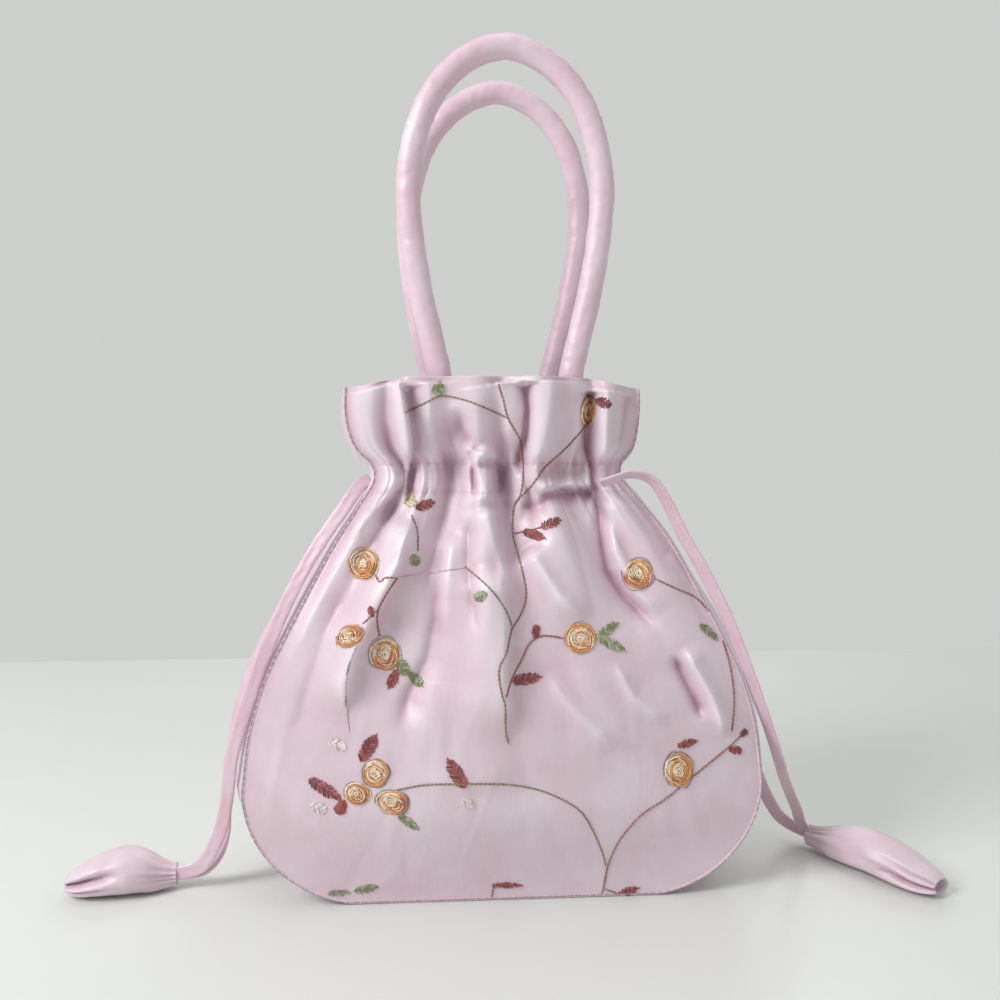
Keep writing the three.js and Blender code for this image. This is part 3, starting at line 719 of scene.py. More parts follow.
def paddedTubeTree():
    tree, sockets, given = newTree("paddedTube", {
        "Line": "Geometry", "Radius": "Float", "Sides": "Int", "Pucker": "Float", "Seam dip": "Float",
        "Finish": "Material"}, "Tube")
    line = addNode(tree, "GeometryNodeMeshToCurve", {"Mesh": given["Line"]}).outputs[0]
    length = addNode(tree, "GeometryNodeSplineParameter").outputs["Length"]
    circle = addNode(tree, "GeometryNodeCurvePrimitiveCircle", {"Resolution": given["Sides"],
                                                               "Radius": given["Radius"]}).outputs[0]
    factor = addNode(tree, "GeometryNodeSplineParameter").outputs["Factor"]
    tube = addNode(tree, "GeometryNodeCurveToMesh", {
        "Curve": keptAs(tree, line, "along", length), "Profile Curve": keptAs(tree, circle, "around", factor),
        "Fill Caps": True}).outputs[0]
    along, around = named(tree, "along"), named(tree, "around")
    turn = mathNode(tree, "MULTIPLY", around, 2 * math.pi)
    ring = addNode(tree, "ShaderNodeCombineXYZ", {
        0: mathNode(tree, "COSINE", turn), 1: mathNode(tree, "SINE", turn),
        2: mathNode(tree, "MULTIPLY", along, 150.0)}).outputs[0]
    crumple = mathNode(tree, "SUBTRACT", noise(tree, ring, 1.3, 3.0, 0.55, 0.6), 0.5)
    puckered = mathNode(tree, "MULTIPLY", mathNode(tree, "MULTIPLY", crumple, 2.0), given["Pucker"])
    fromSeam = mathNode(tree, "DIVIDE", mathNode(tree, "SUBTRACT", around, 0.5), 0.03)
    square = mathNode(tree, "MULTIPLY", mathNode(tree, "MULTIPLY", fromSeam, fromSeam), -1.0)
    dip = mathNode(tree, "MULTIPLY", mathNode(tree, "EXPONENT", square), given["Seam dip"])
    offset = addNode(tree, "ShaderNodeVectorMath", {
        0: addNode(tree, "GeometryNodeInputNormal").outputs[0],
        "Scale": mathNode(tree, "SUBTRACT", puckered, dip)}, operation="SCALE").outputs[0]
    moved = addNode(tree, "GeometryNodeSetPosition", {"Geometry": tube, "Offset": offset}).outputs[0]
    endTree(tree, moved, given["Finish"])
    return tree, sockets


def threadTree():
    tree, sockets, given = newTree("threadsAlongLines", {
        "Lines": "Geometry", "Sides": "Int", "Fullness": "Float", "Finish": "Material"}, "Threads")
    line = addNode(tree, "GeometryNodeMeshToCurve", {"Mesh": given["Lines"]}).outputs[0]
    full = mathNode(tree, "MULTIPLY", named(tree, "thick"), given["Fullness"])
    sized = addNode(tree, "GeometryNodeSetCurveRadius", {"Curve": line, "Radius": full}).outputs[0]
    circle = addNode(tree, "GeometryNodeCurvePrimitiveCircle", {"Resolution": given["Sides"],
                                                               "Radius": 1.0}).outputs[0]
    tube = addNode(tree, "GeometryNodeCurveToMesh", {"Curve": sized, "Profile Curve": circle,
                                                    "Fill Caps": True, "Scale": full}).outputs[0]
    endTree(tree, tube, given["Finish"])
    return tree, sockets


def madeByNodes(name, source, tree, sockets, values):
    modifier = source.modifiers.new("made", "NODES")
    modifier.node_group = tree
    for key, value in values.items():
        modifier[sockets[key].identifier] = value
    bpy.context.view_layer.update()
    shaped = source.evaluated_get(bpy.context.evaluated_depsgraph_get())
    mesh = bpy.data.meshes.new_from_object(shaped)
    mesh.name = name
    source.modifiers.remove(modifier)
    bpy.data.objects.remove(source)
    return addObject(name, mesh)


def lineObject(name, lines, thick=None, tint=None):
    points, edges = [], []
    for line in lines:
        start = len(points)
        points.extend((np.asarray(line) * toMetres).tolist())
        edges.extend((start + k, start + k + 1) for k in range(len(line) - 1))
    mesh = bpy.data.meshes.new(name)
    mesh.from_pydata(points, edges, [])
    if thick is not None:
        addAttribute(mesh, "thick", thick)
        addAttribute(mesh, "tint", tint, "FLOAT_COLOR", "color")
    return addObject(name, mesh)


tubeTree, tubeSockets = paddedTubeTree()


def addHandle(name, gathers, facing, shift):
    source = lineObject(name + "_line", [handleLine(gathers, facing, shift)])
    made = madeByNodes(name, source, tubeTree, tubeSockets, {
        "Radius": handleLook["radius"] * toMetres, "Sides": handleLook["sides"],
        "Pucker": handleLook["pucker"] * toMetres, "Seam dip": handleLook["seamDip"] * toMetres,
        "Finish": satinHandle})
    uv = np.zeros((2, len(made.data.vertices)), np.float32)
    made.data.attributes["around"].data.foreach_get("value", uv[0])
    made.data.attributes["along"].data.foreach_get("value", uv[1])
    uv[0] *= 2 * math.pi * handleLook["radius"] * toMetres
    addClothUv(made.data, uv.T)
    return made


handleFront = addHandle("padded_handle_front", frontGathers, -1, 0)
handleBack = addHandle("padded_handle_back", backGathers, 1, handleLook["backShift"])
print("handles made", len(handleFront.data.polygons))

# Drawstrings: flat satin straps, each along its own route.
strandRoutes = {
    "drawstring_left_front": [
        (-55.2, -9.4, 170.8), (-58.8, -12.2, 168.8), (-65, -16, 160), (-73, -19.5, 148.5), (-81, -22, 135.5),
        (-89.5, -24, 118.5), (-97.5, -25.5, 99), (-105, -26, 77.5), (-110.5, -25, 59), (-113.2, -21, 42),
        (-116.5, -17, 28), (-121.5, -14, 16.8), (-126.2, -12.8, 10.2), (-131.4, -12, 7.8), (-136.9, -11.5, 6.6)],
    "drawstring_left_back": [
        (-56.6, 5, 168.4), (-60.2, 5, 165.8), (-67.4, 4, 156), (-75.6, 3, 145), (-83.8, 1.5, 132),
        (-93, -0.5, 117.5), (-100.1, -2.5, 104), (-109, -4.5, 83), (-113.4, -6.5, 66), (-115.6, -8, 49),
        (-115, -8.8, 34.5), (-116, -9, 22), (-119.4, -8.8, 12.6), (-125, -8.4, 7.2), (-131.5, -8, 5.6),
        (-137.6, -7.9, 5.2)],
    "drawstring_right_front": [
        (38.8, -26.2, 169.4), (44, -28, 171.4), (50.5, -28.4, 173.2), (58.5, -28, 171.2), (64.5, -27.2, 163.5),
        (71.6, -27.4, 149.5), (81, -28.4, 133), (90, -29.4, 115), (98.4, -30, 94.5), (106.6, -28.4, 74),
        (115.4, -20, 54.5), (123.2, -8, 39.5), (130.4, 2.5, 27.5), (135.8, 9.6, 18.2), (139, 14.4, 12),
        (141.4, 12.9, 7.6)],
    "drawstring_right_back": [
        (45, 24.2, 169), (52, 26, 167.5), (60, 27, 160), (69.5, 28.2, 148), (79.8, 29.4, 133),
        (91, 30.4, 114), (100.5, 31, 94), (108.8, 30.2, 73.5), (115, 27.6, 53.5), (119.6, 23.6, 37),
        (124.4, 20.2, 23.5), (130.8, 20, 12.8), (138, 20.2, 7.2), (143.4, 17.6, 5.2), (146, 13.4, 5)],
}
strandRoll = {"drawstring_left_front": 45, "drawstring_left_back": -25, "drawstring_right_front": -35,
              "drawstring_right_back": 35}
strandLook = {"width": 6.0, "thickness": 1.6, "rings": 260, "sides": 22, "wave": 0.15, "twist": 9,
              "hollow": 0.34, "hollowReach": 0.42, "roundness": 0.75}


def addStrand(name, route, roll, seed):
    look, maker = strandLook, random.Random(seed)
    path, length = curveThrough(route, look["rings"])
    normals, sides = framesAlong(path)
    phases = [maker.uniform(0, 6.28) for _ in range(6)]
    angle = np.linspace(0, 2 * math.pi, look["sides"], endpoint=False)
    cosine, sine = np.cos(angle), np.sin(angle)
    flatShape = np.sign(cosine) * np.abs(cosine) ** look["roundness"]
    thickShape = np.sign(sine) * np.abs(sine) ** look["roundness"] * look["thickness"] / 2
    thickShape = thickShape * (1 - look["hollow"] * np.exp(-(flatShape / look["hollowReach"]) ** 2))
    rings = []
    for i, centre in enumerate(path):
        run = i / (len(path) - 1)
        wobble = math.sin(run * 31 + phases[0]) * 0.5 + math.sin(run * 67 + phases[1]) * 0.3
        twist = look["twist"] * math.sin(run * 9 + phases[2]) * math.sin(math.pi * run)
        turn = math.radians(roll + twist)
        flatX = look["width"] / 2 * (1 - 0.05 * abs(wobble)) * flatShape
        ripple = look["wave"] * np.sin(flatShape * 5 + run * 44 + phases[3]) * np.cos(run * 90 + phases[4])
        flatY = thickShape + ripple * (1 - flatShape ** 2)
        across = flatX * math.cos(turn) - flatY * math.sin(turn)
        out = flatX * math.sin(turn) + flatY * math.cos(turn)
        rings.append(centre + across[:, None] * normals[i] + out[:, None] * sides[i])
    u = np.tile(np.abs(np.linspace(-1, 1, look["sides"])) * look["width"], len(path))
    v = np.repeat(np.linspace(0, length, len(path)), look["sides"])
    # Painted light and shade: the strap's folded edges are painted lighter and its flat faces a little deeper
    # pink.
    fold = np.tile(np.where(np.abs(cosine) > 0.93, 0.6, -0.1), len(path))
    made = clothObject(name, np.concatenate(rings), pipeFaces(len(path), look["sides"]), satinStrand,
                       np.stack([u, v], axis=1), fold)
    return made, path, length


strands = {}
for number, (name, route) in enumerate(strandRoutes.items()):
    pieceName = name.replace("drawstring", "satin_drawstring")
    strands[name] = addStrand(pieceName, route, strandRoll[name], 40 + number)
    print(name, round(strands[name][2], 1), "mm long")

# Folded satin ends. Columns: along, width, height, lift.
podSections = np.array([
    [0.0, 0.34, 0.5, 0.08], [0.09, 0.48, 0.62, 0.05], [0.24, 0.82, 0.88, 0.0], [0.45, 1.0, 1.0, 0.0],
    [0.66, 0.95, 0.9, 0.0], [0.84, 0.78, 0.7, 0.0], [0.95, 0.56, 0.5, 0.05], [1.0, 0.4, 0.32, 0.12],
])
podLook = {"halfWidth": 12.0, "halfHeight": 9.0, "rings": 110, "sides": 96, "fold": 0.62, "spread": 0.2,
           "secondFold": 0.36, "secondSpread": 0.1, "lip": 0.09, "start": -0.04, "gathers": 13,
           "gatherDepth": 0.09, "gatherReach": 0.2, "dents": 46, "mouthRings": 8, "mouthDepth": 0.16}
podPlaces = {
    "pod_left": {"neck": (-138.2, -9.5), "heading": 186, "length": 42, "crease": 14, "second": 338,
                 "foldStart": 0.38, "seed": 3},
    "pod_right": {"neck": (144.4, 11), "heading": -58, "length": 62, "crease": 194, "second": 150,
                  "foldStart": 0.5, "seed": 8},
}


def addPod(name, place):
    look, maker = podLook, random.Random(place["seed"])
    turn = math.radians(place["heading"])
    angle = np.linspace(0, 2 * math.pi, look["sides"], endpoint=False)

    def bump(around, reach):
        return np.exp(-(np.angle(np.exp(1j * (angle - around))) / reach) ** 2)

    dents = [(maker.uniform(0.08, 0.95), maker.uniform(0, 6.28), maker.uniform(0.04, 0.2),
              maker.uniform(0.1, 0.4), maker.uniform(-0.075, 0.06)) for _ in range(look["dents"])]
    creases = ((math.radians(place["crease"]), look["fold"], look["lip"], look["spread"]),
               (math.radians(place["second"]), look["fold"] * look["secondFold"],
                look["lip"] * look["secondFold"], look["secondSpread"]))
    steps = [(at, 1.0) for at in np.linspace(look["start"], 1, look["rings"])]
    for k in range(1, look["mouthRings"] + 1):  # the open end turns inwards
        share = k / look["mouthRings"]
        steps.append((1 - look["mouthDepth"] * share, 1 - 0.88 * share ** 0.8))
    rings, u, v, foldShades = [], [], [], []
    for at, shrink in steps:
        width, height, lift = [float(columnAt(podSections, k, at if shrink == 1.0 else 1.0)) for k in (1, 2, 3)]
        middle = look["halfHeight"] * (height + 2 * lift)
        deep = float(ease((at - place["foldStart"]) / (1 - place["foldStart"])))
        radius = np.ones(angle.shape)
        for around, fold, lip, spread in creases:
            off = np.abs(np.angle(np.exp(1j * (angle - around))))
            radius += deep * (lip * np.exp(-((off - 2.2 * spread) / spread) ** 2) - fold * bump(around, spread))
        neck = math.exp(-(at / look["gatherReach"]) ** 2)
        radius += look["gatherDepth"] * neck * np.cos(look["gathers"] * angle + 2 * np.sin(3 * angle))
        for where, around, reachAlong, reachAround, depth in dents:
            radius += depth * math.exp(-((at - where) / reachAlong) ** 2) * bump(around, reachAround)
        across = look["halfWidth"] * width * shrink * np.cos(angle) * radius
        up = look["halfHeight"] * height * shrink * np.sin(angle) * radius
        x = place["neck"][0] + place["length"] * at * math.cos(turn) - across * math.sin(turn)
        y = place["neck"][1] + place["length"] * at * math.sin(turn) + across * math.cos(turn)
        z = np.clip(middle + up, 0.15 + 0.1 * np.sin(angle * 5), 2 * look["halfHeight"])
        rings.append(np.stack([x, y, z], axis=1))
        u.append(angle * look["halfWidth"])
        v.append(np.full(angle.shape, place["length"] * at * (1 if shrink == 1.0 else 1.2)))
        # Painted shade: creases and the turned-in mouth are painted deeper pink, and the lips beside the creases
        # lighter.
        foldShades.append((radius - 1) * 6 - 1.5 * (1 - shrink))
    return clothObject(name, np.concatenate(rings), pipeFaces(len(rings), look["sides"]), satinEnd,
                       np.stack([np.concatenate(u), np.concatenate(v)], axis=1), np.concatenate(foldShades))


podLeft = addPod("folded_end_left", podPlaces["pod_left"])
podRight = addPod("folded_end_right", podPlaces["pod_right"])
print("drawstrings and folded ends made")

# Threads: every stitch is a short line with a thickness and a colour.
colours = {"stem": "9a8078", "stemRed": "a8655e", "orange": "dc9c66", "deepOrange": "cb7c4e",
           "cream": "eedbbd", "pale": "e6d3cf", "faint": "dfc6d0", "red": "ad5450",
           "darkRed": "83403f", "green": "8b9566", "paleGreen": "b3b698", "grey": "8f8a92",
           "white": "efe4e6", "seam": "a79fab", "ridge": "e3c6d2"}
# Places, lengths and widths are in pixels of the picture, thicknesses and lifts in millimetres.
stemStitch = {"length": 6, "step": 4.4, "slant": 0.55, "thick": 0.27, "lift": 0.16}
leafStitch = {"thick": 0.31, "lift": 0.22, "closeness": 1.35}
roseStitch = {"thick": 0.42, "lift": 0.3, "dome": 0.65, "shade": (0.2, 0.25), "overThick": 0.2,
              "overLift": 0.75, "overDome": 0.4, "loops": 5, "loopThick": 0.13}
longestGap = 6  # a stitch with a longer gap would leap from one fold to another, so it is left out
threads = []
stitchMaker = random.Random(77)


def surfaceOf(panel):
    return BVHTree.FromPolygons([v.co.copy() for v in panel.data.vertices],
                                [tuple(p.vertices) for p in panel.data.polygons])


frontTree, backTree = surfaceOf(front), surfaceOf(back)


def tinted(colour, shade=1.0):
    return [part * shade for part in linear(colours[colour])[:3]] + [1.0]


def onFront(across, down, lift):
    origin = Vector(photoView["place"]) * toMetres
    place, normal, _, _ = frontTree.ray_cast(origin, Vector(photoRay(across, down)))
    if place is None:
        return None
    if normal.y > 0:
        normal = -normal
    return np.array(place) * 1000 + np.array(normal) * lift


def smoothLine(line, spacing):
    flat = curveThrough([(x, y, 0) for x, y in line], max(12, 8 * len(line)))[0][:, :2]
    run = runAlong(flat)
    return pointsAt(flat, run, np.linspace(0, run[-1], max(2, int(run[-1] / spacing) + 1)))


def keepThread(kept, points, thick, tint):
    if len(points) < 2 or any(point is None for point in points):
        return
    if np.linalg.norm(np.diff(points, axis=0), axis=1).max() < longestGap:
        kept.append((np.array(points), thick, tint))


def placeThread(line, thick, colour, lift, shade=1.0):
    points = [onFront(across, down, lift) for across, down in line]
    keepThread(threads, points, thick, tinted(colour, shade))


def sewStem(line, colour, second=None, size=1.0):
    path = smoothLine(line, 1.0)
    at = 0.0
    while at < len(path) - 3:
        first = int(at)
        last = min(first + stemStitch["length"], len(path) - 1)
        part = path[first:last + 1:2]
        if len(part) > 1:
            direction = part[-1] - part[0]
            away = np.array([-direction[1], direction[0]]) / max(np.hypot(*direction), 1e-6)
            slide = np.linspace(-stemStitch["slant"], stemStitch["slant"], len(part))
            chosen = second if second and stitchMaker.random() < 0.3 else colour
            placeThread(part + slide[:, None] * away, stemStitch["thick"] * size, chosen,
                        stemStitch["lift"], stitchMaker.uniform(0.85, 1.12))
        at += stemStitch["step"]


def sewLeaf(start, end, width, colour, other, barbs):
    start, end = np.array(start, float), np.array(end, float)
    axis = end - start
    length = max(np.hypot(*axis), 1e-6)
    unit = axis / length
    away = np.array([-unit[1], unit[0]])
    sewStem([tuple(start), tuple((start + end) / 2 + away * 0.6), tuple(end)], colour, size=0.8)
    barbs = int(barbs * leafStitch["closeness"])
    for k in range(barbs):
        share = (k + 0.5) / barbs
        reach = width * math.sin(math.pi * min(0.18 + 0.8 * share, 1)) ** 0.7
        for hand in (-1, 1):
            root = start + unit * length * share - unit * 0.12 * length
            tip = root + away * hand * reach + unit * reach * 0.75
            tip += np.array([stitchMaker.uniform(-0.7, 0.7), stitchMaker.uniform(-0.7, 0.7)])
            chosen = other if other and stitchMaker.random() < 0.35 else colour
            mid = (root + tip) / 2
            placeThread([root, mid, tip], leafStitch["thick"], chosen, leafStitch["lift"],
                        stitchMaker.uniform(0.8, 1.15))


def sewRose(middle, across, down, tilt):
    look, middle = roseStitch, np.array(middle, float)
    cosT, sinT = math.cos(math.radians(tilt)), math.sin(math.radians(tilt))

    def spot(radius, angle):
        local = np.array([across / 2 * radius * math.cos(angle), down / 2 * radius * math.sin(angle)])
        return middle + np.array([local[0] * cosT - local[1] * sinT, local[0] * sinT + local[1] * cosT])

    size = (across + down) / 2
    turns = max(5, int(size / 4.2))
    for turn in range(turns):
        radius = 0.12 + 0.78 * turn / (turns - 1)
        angle = stitchMaker.uniform(0, 6.28)
        pieces = 3 + turn // 2
        for piece in range(pieces):
            sweep = 2 * math.pi / pieces * 1.25
            count = max(4, int(sweep * radius * size / 2 / 2.4))
            angles = np.linspace(angle, angle + sweep, count)
            halfway = angle + sweep / 2
            facing = math.cos(halfway) * look["shade"][0] + math.sin(halfway) * look["shade"][1]
            if radius < 0.3:
                colour = "cream"
            elif facing + stitchMaker.uniform(-0.16, 0.16) > 0.02:
                colour = stitchMaker.choice(["orange", "deepOrange", "orange"])
            else:
                colour = stitchMaker.choice(["orange", "cream", "orange", "cream"])
            jitter = stitchMaker.uniform(-0.03, 0.03)
            placeThread([spot(radius + jitter, a) for a in angles], look["thick"], colour,
                        look["lift"] + look["dome"] * (1 - radius), stitchMaker.uniform(0.85, 1.15))
            angle += 2 * math.pi / pieces
    for k in range(int(size * 0.9)):
        angle, radius = stitchMaker.uniform(0, 6.28), stitchMaker.uniform(0.2, 0.85)
        sweep = stitchMaker.uniform(0.5, 1.1)
        angles = np.linspace(angle, angle + sweep, 4)
        colour = stitchMaker.choice(["cream", "cream", "orange", "white"])
        placeThread([spot(radius + 0.1 * math.sin(a * 2), a) for a in angles], look["overThick"], colour,
                    look["overLift"] + look["overDome"] * (1 - radius), stitchMaker.uniform(0.9, 1.15))
    for loop in range(look["loops"]):
        wobble = stitchMaker.uniform(0, 6.28)
        angles = np.linspace(0, stitchMaker.uniform(1.2, 3.4), 16)
        radii = 0.97 + stitchMaker.uniform(0, 0.12) + 0.05 * np.sin(angles * 4 + wobble)
        placeThread([spot(r, a + wobble) for r, a in zip(radii, angles)], look["loopThick"],
                    stitchMaker.choice(["grey", "stem", "cream"]), look["lift"])


# Columns: the line, its colour, and a second colour for some of its stitches.
stems = [
    ([(405, 413), (427, 402), (441, 396), (465, 400), (490, 410), (508, 418)], "stem", None),
    ([(498, 384), (503, 399), (508, 418), (519, 438), (523, 455), (523, 476), (521, 493), (515, 505)], "stem",
     "stemRed"),
    ([(587, 424), (567, 447), (545, 467), (533, 484), (521, 497), (515, 505), (513, 518), (513, 535), (518, 554),
      (522, 569), (526, 598), (519, 618), (512, 629), (506, 654), (499, 669), (502, 695), (505, 705),
      (506, 734), (509, 744)], "stem", "stemRed"),
    ([(411, 515), (417, 530), (418, 552)], "stem", None),
    ([(375, 574), (380, 582), (385, 578), (397, 578)], "stemRed", "stem"),
    ([(397, 578), (385, 596), (378, 610), (377, 622), (380, 638)], "stemRed", "stem"),
    ([(363, 624), (377, 610)], "stemRed", "stem"),
    ([(366, 630), (352, 656), (346, 681), (346, 705), (349, 732)], "faint", "grey"),
    ([(397, 578), (430, 573), (465, 567)], "faint", None),
    ([(465, 567), (482, 581), (497, 597), (508, 615), (512, 627)], "stem", "grey"),
    ([(397, 790), (424, 785), (460, 784), (497, 784), (521, 786), (548, 793), (580, 811), (594, 833), (603, 855),
      (606, 866)], "stem", "green"),
    ([(599, 908), (604, 884), (609, 862), (619, 841), (640, 816), (665, 799), (684, 784), (703, 768), (725, 750),
      (745, 732)], "stem", "stemRed"),
    ([(655, 579), (677, 589), (696, 598), (713, 618), (723, 642), (730, 666), (734, 698), (732, 732)], "stemRed",
     "stem"),
    ([(564, 638), (542, 636), (530, 643), (522, 659), (511, 681), (506, 698)], "stemRed", "stem"),
    ([(491, 905), (493, 889), (495, 885)], "stem", None),
    ([(513, 534), (531, 530), (543, 527)], "stemRed", None),
    ([(605, 889), (620, 894)], "stem", None),
]
# Columns: middle, width, height, tilt.
roses = [
    ((363, 564), 31, 31, 0), ((350, 636), 29, 20, -30), ((384, 654), 32, 32, 0), ((376, 773), 27, 27, 0),
    ((357, 793), 26, 22, 20), ((392, 802), 34, 24, 10), ((638, 574), 30, 30, 0), ((580, 638), 31, 31, 0),
    ((678, 770), 29, 36, 0), ((588, 411), 15, 30, 6),
]
# Columns: root, tip, width, colour, second colour, stitches on a side.
leaves = [
    ((417, 508), (436, 501), 5, "red", "darkRed", 8), ((543, 527), (562, 519), 5, "red", "darkRed", 7),
    ((525, 532), (547, 539), 5, "red", "darkRed", 8), ((597, 400), (612, 406), 5, "darkRed", None, 6),
    ((373, 616), (369, 606), 3, "red", "darkRed", 5), ((397, 671), (388, 690), 5, "red", "darkRed", 8),
    ((362, 759), (377, 733), 7, "red", "darkRed", 10), ((312, 781), (344, 801), 6, "red", "darkRed", 11),
    ((344, 801), (337, 815), 6, "red", None, 6), ((464, 785), (446, 757), 7, "red", "darkRed", 10),
    ((535, 637), (537, 624), 4, "red", "darkRed", 6), ((515, 681), (543, 676), 6, "red", "darkRed", 9),
    ((679, 746), (698, 740), 4, "red", "darkRed", 7), ((741, 736), (747, 729), 3, "darkRed", None, 4),
    ((730, 748), (743, 752), 4, "red", "darkRed", 6), ((495, 885), (524, 885), 2.5, "red", "darkRed", 9),
    ((620, 894), (640, 887), 4, "red", "darkRed", 7), ((432, 390), (445, 387), 6, "paleGreen", "green", 6),
    ((412, 556), (418, 565), 5, "green", "paleGreen", 6), ((398, 660), (409, 676), 6, "green", "paleGreen", 7),
    ((410, 674), (424, 687), 5, "green", "paleGreen", 7), ((400, 816), (420, 830), 4, "green", "paleGreen", 8),
    ((486, 594), (474, 599), 5, "paleGreen", "green", 7), ((599, 637), (619, 621), 5, "green", "paleGreen", 8),
    ((600, 638), (627, 652), 5, "paleGreen", "green", 10), ((701, 625), (719, 641), 4, "green", "paleGreen", 8),
    ((330, 893), (352, 892), 3, "paleGreen", "grey", 7), ((356, 891), (380, 886), 4, "green", "paleGreen", 7),
    ((616, 899), (634, 901), 3, "green", None, 6), ((640, 899), (664, 895), 3.5, "paleGreen", None, 8),
    ((330, 742), (348, 748), 5, "white", "pale", 7), ((312, 806), (328, 811), 5, "white", "pale", 7),
    ((404, 503), (416, 498), 7, "cream", "paleGreen", 8), ((463, 800), (474, 806), 4, "white", "pale", 6),
]
for line, colour, second in stems:
    sewStem(line, colour, second)
for middle, across, down, tilt in roses:
    sewRose(middle, across, down, tilt)
for start, end, width, colour, other, barbs in leaves:
    sewLeaf(start, end, width, colour, other, barbs)
rimLoop = [(398, 380), (401, 376.5), (405, 375.8), (407, 378), (404, 380.5)]  # a loose end at the rim
placeThread(smoothLine(rimLoop, 1.5), 0.18, "grey", 0.5)
print("embroidery lines", len(threads))

# The back carries the same vines, thinned out and turned about the bag's middle.
backVines = {"lowest": 12, "highest": 150, "middle": -8, "reach": 78, "lift": 0.16, "behind": 200}


def onBack(point):
    origin = Vector((-point[0], backVines["behind"], point[2])) * toMetres
    place = backTree.ray_cast(origin, Vector((0, -1, 0)))[0]
    return None if place is None else np.array(place) * 1000 + np.array([0, backVines["lift"], 0])


backThreads = []
for points, thick, tint in threads:
    x, _, z = points.mean(axis=0)
    if backVines["lowest"] <= z <= backVines["highest"] and abs(x - backVines["middle"]) <= backVines["reach"]:
        keepThread(backThreads, [onBack(point) for point in points], thick, tint)

threadLayout, threadSockets = threadTree()


def threadPiece(name, kept, sides):
    thick = np.concatenate([np.full(len(points), width * toMetres) for points, width, _ in kept])
    tint = np.concatenate([np.tile(colour, (len(points), 1)) for points, _, colour in kept])
    source = lineObject(name + "_lines", [points for points, _, _ in kept], thick, tint)
    return madeByNodes(name, source, threadLayout, threadSockets,
                       {"Sides": sides, "Fullness": 1.0, "Finish": thread})


frontEmbroidery = threadPiece("embroidery_front", threads, 6)
backEmbroidery = threadPiece("embroidery_back", backThreads, 5)
print("embroidery made", len(frontEmbroidery.data.polygons), len(backEmbroidery.data.polygons))

# Seams: a thin pressed ridge with a row of grey stitches, and the channel's stitch rows.
seamLook = {"sideSteps": 400, "baseSteps": 120, "ridge": 0.75, "ridgeInset": 0.35, "ridgeProud": 0.15,
            "stitch": 0.26, "stitchLength": 2.6, "stitchGap": 0.5, "stitchOut": 0.28, "stitchProud": 0.55,
            "stitchArch": 0.12, "lowestStitch": 0.9, "rowStitch": 0.12, "rowLength": 1.9, "rowGap": 0.7,
            "rowOut": 0.1, "rowSteps": 700, "rowReach": 0.985}


def dashes(path, length, gap, arch):
    run = runAlong(path)
    made = []
    at = 0.0
    while at + length < run[-1]:
        part = pointsAt(path, run, np.linspace(at, at + length, 4))
        part[1:3, 1] += arch
        made.append(part)
        at += length + gap
    return made


def seams():
    look = seamLook
    xs, zs, hs = seamLine(look["sideSteps"], look["baseSteps"])
    outX, outZ = outwardOf(xs, zs)
    depth = sectionAt(hs)[1]
    ridges, stitches = [], []
    for facing in (-1, 1):
        low = np.maximum(zs + outZ * look["ridgeProud"], look["ridge"] * 0.9)
        ridge = np.stack([xs + outX * look["ridgeProud"], facing * (depth - look["ridgeInset"]), low], axis=1)
        ridges.append((ridge, look["ridge"], tinted("ridge")))
        low = np.maximum(zs + outZ * 0.3, look["lowestStitch"])
        row = np.stack([xs + outX * look["stitchProud"], facing * (depth + look["stitchOut"]), low], axis=1)
        for line in dashes(row, look["stitchLength"], look["stitchGap"], facing * look["stitchArch"]):
            stitches.append((line, look["stitch"], tinted("seam")))
    return ridges, stitches


def channelRows():
    look, rows = seamLook, []
    side = np.linspace(-look["rowReach"], look["rowReach"], look["rowSteps"])
    for facing in (-1, 1):
        for height in (gatherLook["stitchLow"], gatherLook["stitchHigh"]):
            row = panelPoints(facing, side, np.full(side.shape, height))
            row[:, 1] += facing * look["rowOut"]
            for line in dashes(row, look["rowLength"], look["rowGap"], facing * look["rowOut"]):
                rows.append((line, look["rowStitch"], tinted("faint")))
    return rows


ridges, stitches = seams()
seamRidge = threadPiece("seam_ridge", ridges, 8)
seamStitch = threadPiece("seam_stitches", stitches + channelRows(), 5)
print("seams made", len(seamRidge.data.polygons), len(seamStitch.data.polygons))

# What each piece is: the solids that it replaces, and its slot.
pieces = {
    front: (("front_panel",), "satin_front"), back: (("back_panel",), "satin_back"),
    gusset: (("gusset",), "satin_gusset"), handleFront: (("handle_front",), "satin_handle"),
    handleBack: (("handle_back",), "satin_handle"), podLeft: (("pod_left",), "satin_end"),
    podRight: (("pod_right",), "satin_end"), frontEmbroidery: ((), "satin_front"),
    backEmbroidery: ((), "satin_back"), seamRidge: ((), "satin_gusset"), seamStitch: ((), "satin_gusset"),
}
for name, (strand, _, _) in strands.items():
    pieces[strand] = ((name,), "satin_strand")
for piece, (nodes, slotName) in pieces.items():
    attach(piece, "root")
    if nodes:
        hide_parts(*nodes)

# Floor, light and surroundings, in metres.
studio = {"floor": "dcdfdb", "floorCloud": "e2e5e1", "floorRoughness": 0.3, "floorLeft": -1.6,
          "floorRight": 1.6, "floorNear": -1.2, "floorFar": 0.44, "floorHeight": -0.0002,
          "sky": "e4e6e3", "frontStrength": 0.36, "backStrength": 0.79}
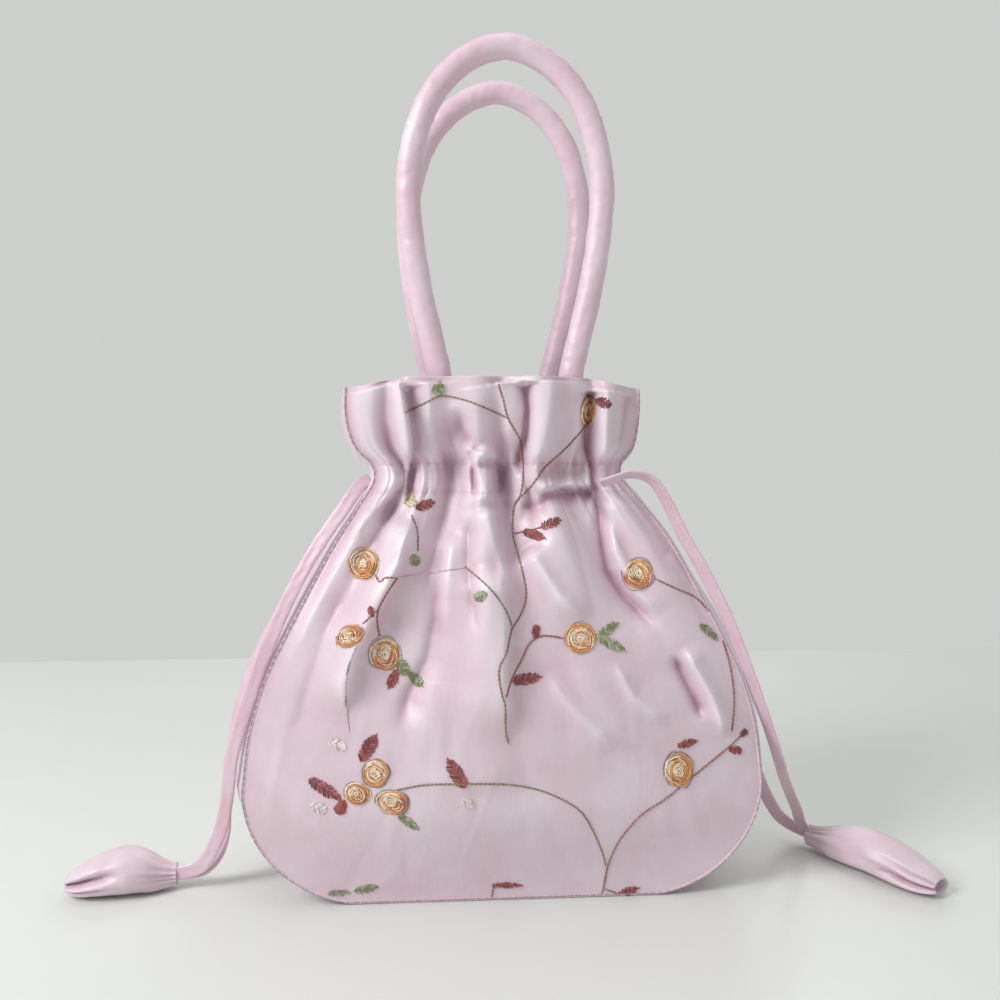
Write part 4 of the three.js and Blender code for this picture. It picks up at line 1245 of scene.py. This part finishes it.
# Columns: place, target, size, power, colour.
lights = {
    "keyLight": ((-0.95, -0.62, 0.85), (0, 0, 0.12), (0.5, 0.65), 13.5, (1.0, 0.985, 1.0)),
    "fillLight": ((1.1, -1.0, 0.6), (0, 0, 0.12), (0.9, 0.9), 3, (0.97, 0.98, 1.0)),
    "topLight": ((0.1, -0.1, 1.5), (0, 0, 0.1), (1.0, 0.8), 3.2, (1.0, 1.0, 1.0)),
    "rearLight": ((0.3, 1.3, 1.1), (0, 0, 0.1), (1.0, 0.8), 3, (1.0, 1.0, 1.0)),
}


def addFloor():
    corners = [(studio[side], studio[end], studio["floorHeight"]) for side, end in (
        ("floorLeft", "floorNear"), ("floorRight", "floorNear"), ("floorRight", "floorFar"),
        ("floorLeft", "floorFar"))]
    mesh = bpy.data.meshes.new("pale_floor")
    mesh.from_pydata(corners, [], [(0, 1, 2, 3)])
    material = bpy.data.materials.new("paleFloor")
    material.use_nodes = True
    tree = material.node_tree
    cloud = noise(tree, addNode(tree, "ShaderNodeTexCoord").outputs["Object"], 6.0, 3.0)
    fill(tree, tree.nodes["Principled BSDF"], {
        "Base Color": blend(tree, cloud, linear(studio["floor"]), linear(studio["floorCloud"])),
        "Roughness": studio["floorRoughness"]})
    mesh.materials.append(material)
    addObject("pale_floor", mesh)


def addLight(name, place, target, size, power, colour):
    data = bpy.data.lights.new(name, "AREA")
    data.shape = "RECTANGLE"
    data.size, data.size_y = size
    data.energy = power
    data.color = colour
    lamp = addObject(name, data)
    lamp.location = place
    lamp.rotation_euler = (Vector(target) - Vector(place)).to_track_quat("-Z", "Y").to_euler()


addFloor()
for name, settings in lights.items():
    addLight(name, *settings)
world = bpy.data.worlds.new("paleRoom")
world.use_nodes = True
sky = world.node_tree
direction = addNode(sky, "ShaderNodeSeparateXYZ", {0: addNode(sky, "ShaderNodeTexCoord").outputs["Generated"]})
strength = ranged(sky, direction.outputs[1], (-0.5, 0.6), (studio["frontStrength"], studio["backStrength"]))
sky.nodes["Background"].inputs[0].default_value = linear(studio["sky"])
sky.links.new(strength, sky.nodes["Background"].inputs[1])
bpy.context.scene.world = world
bpy.context.scene.view_settings.view_transform = "Standard"
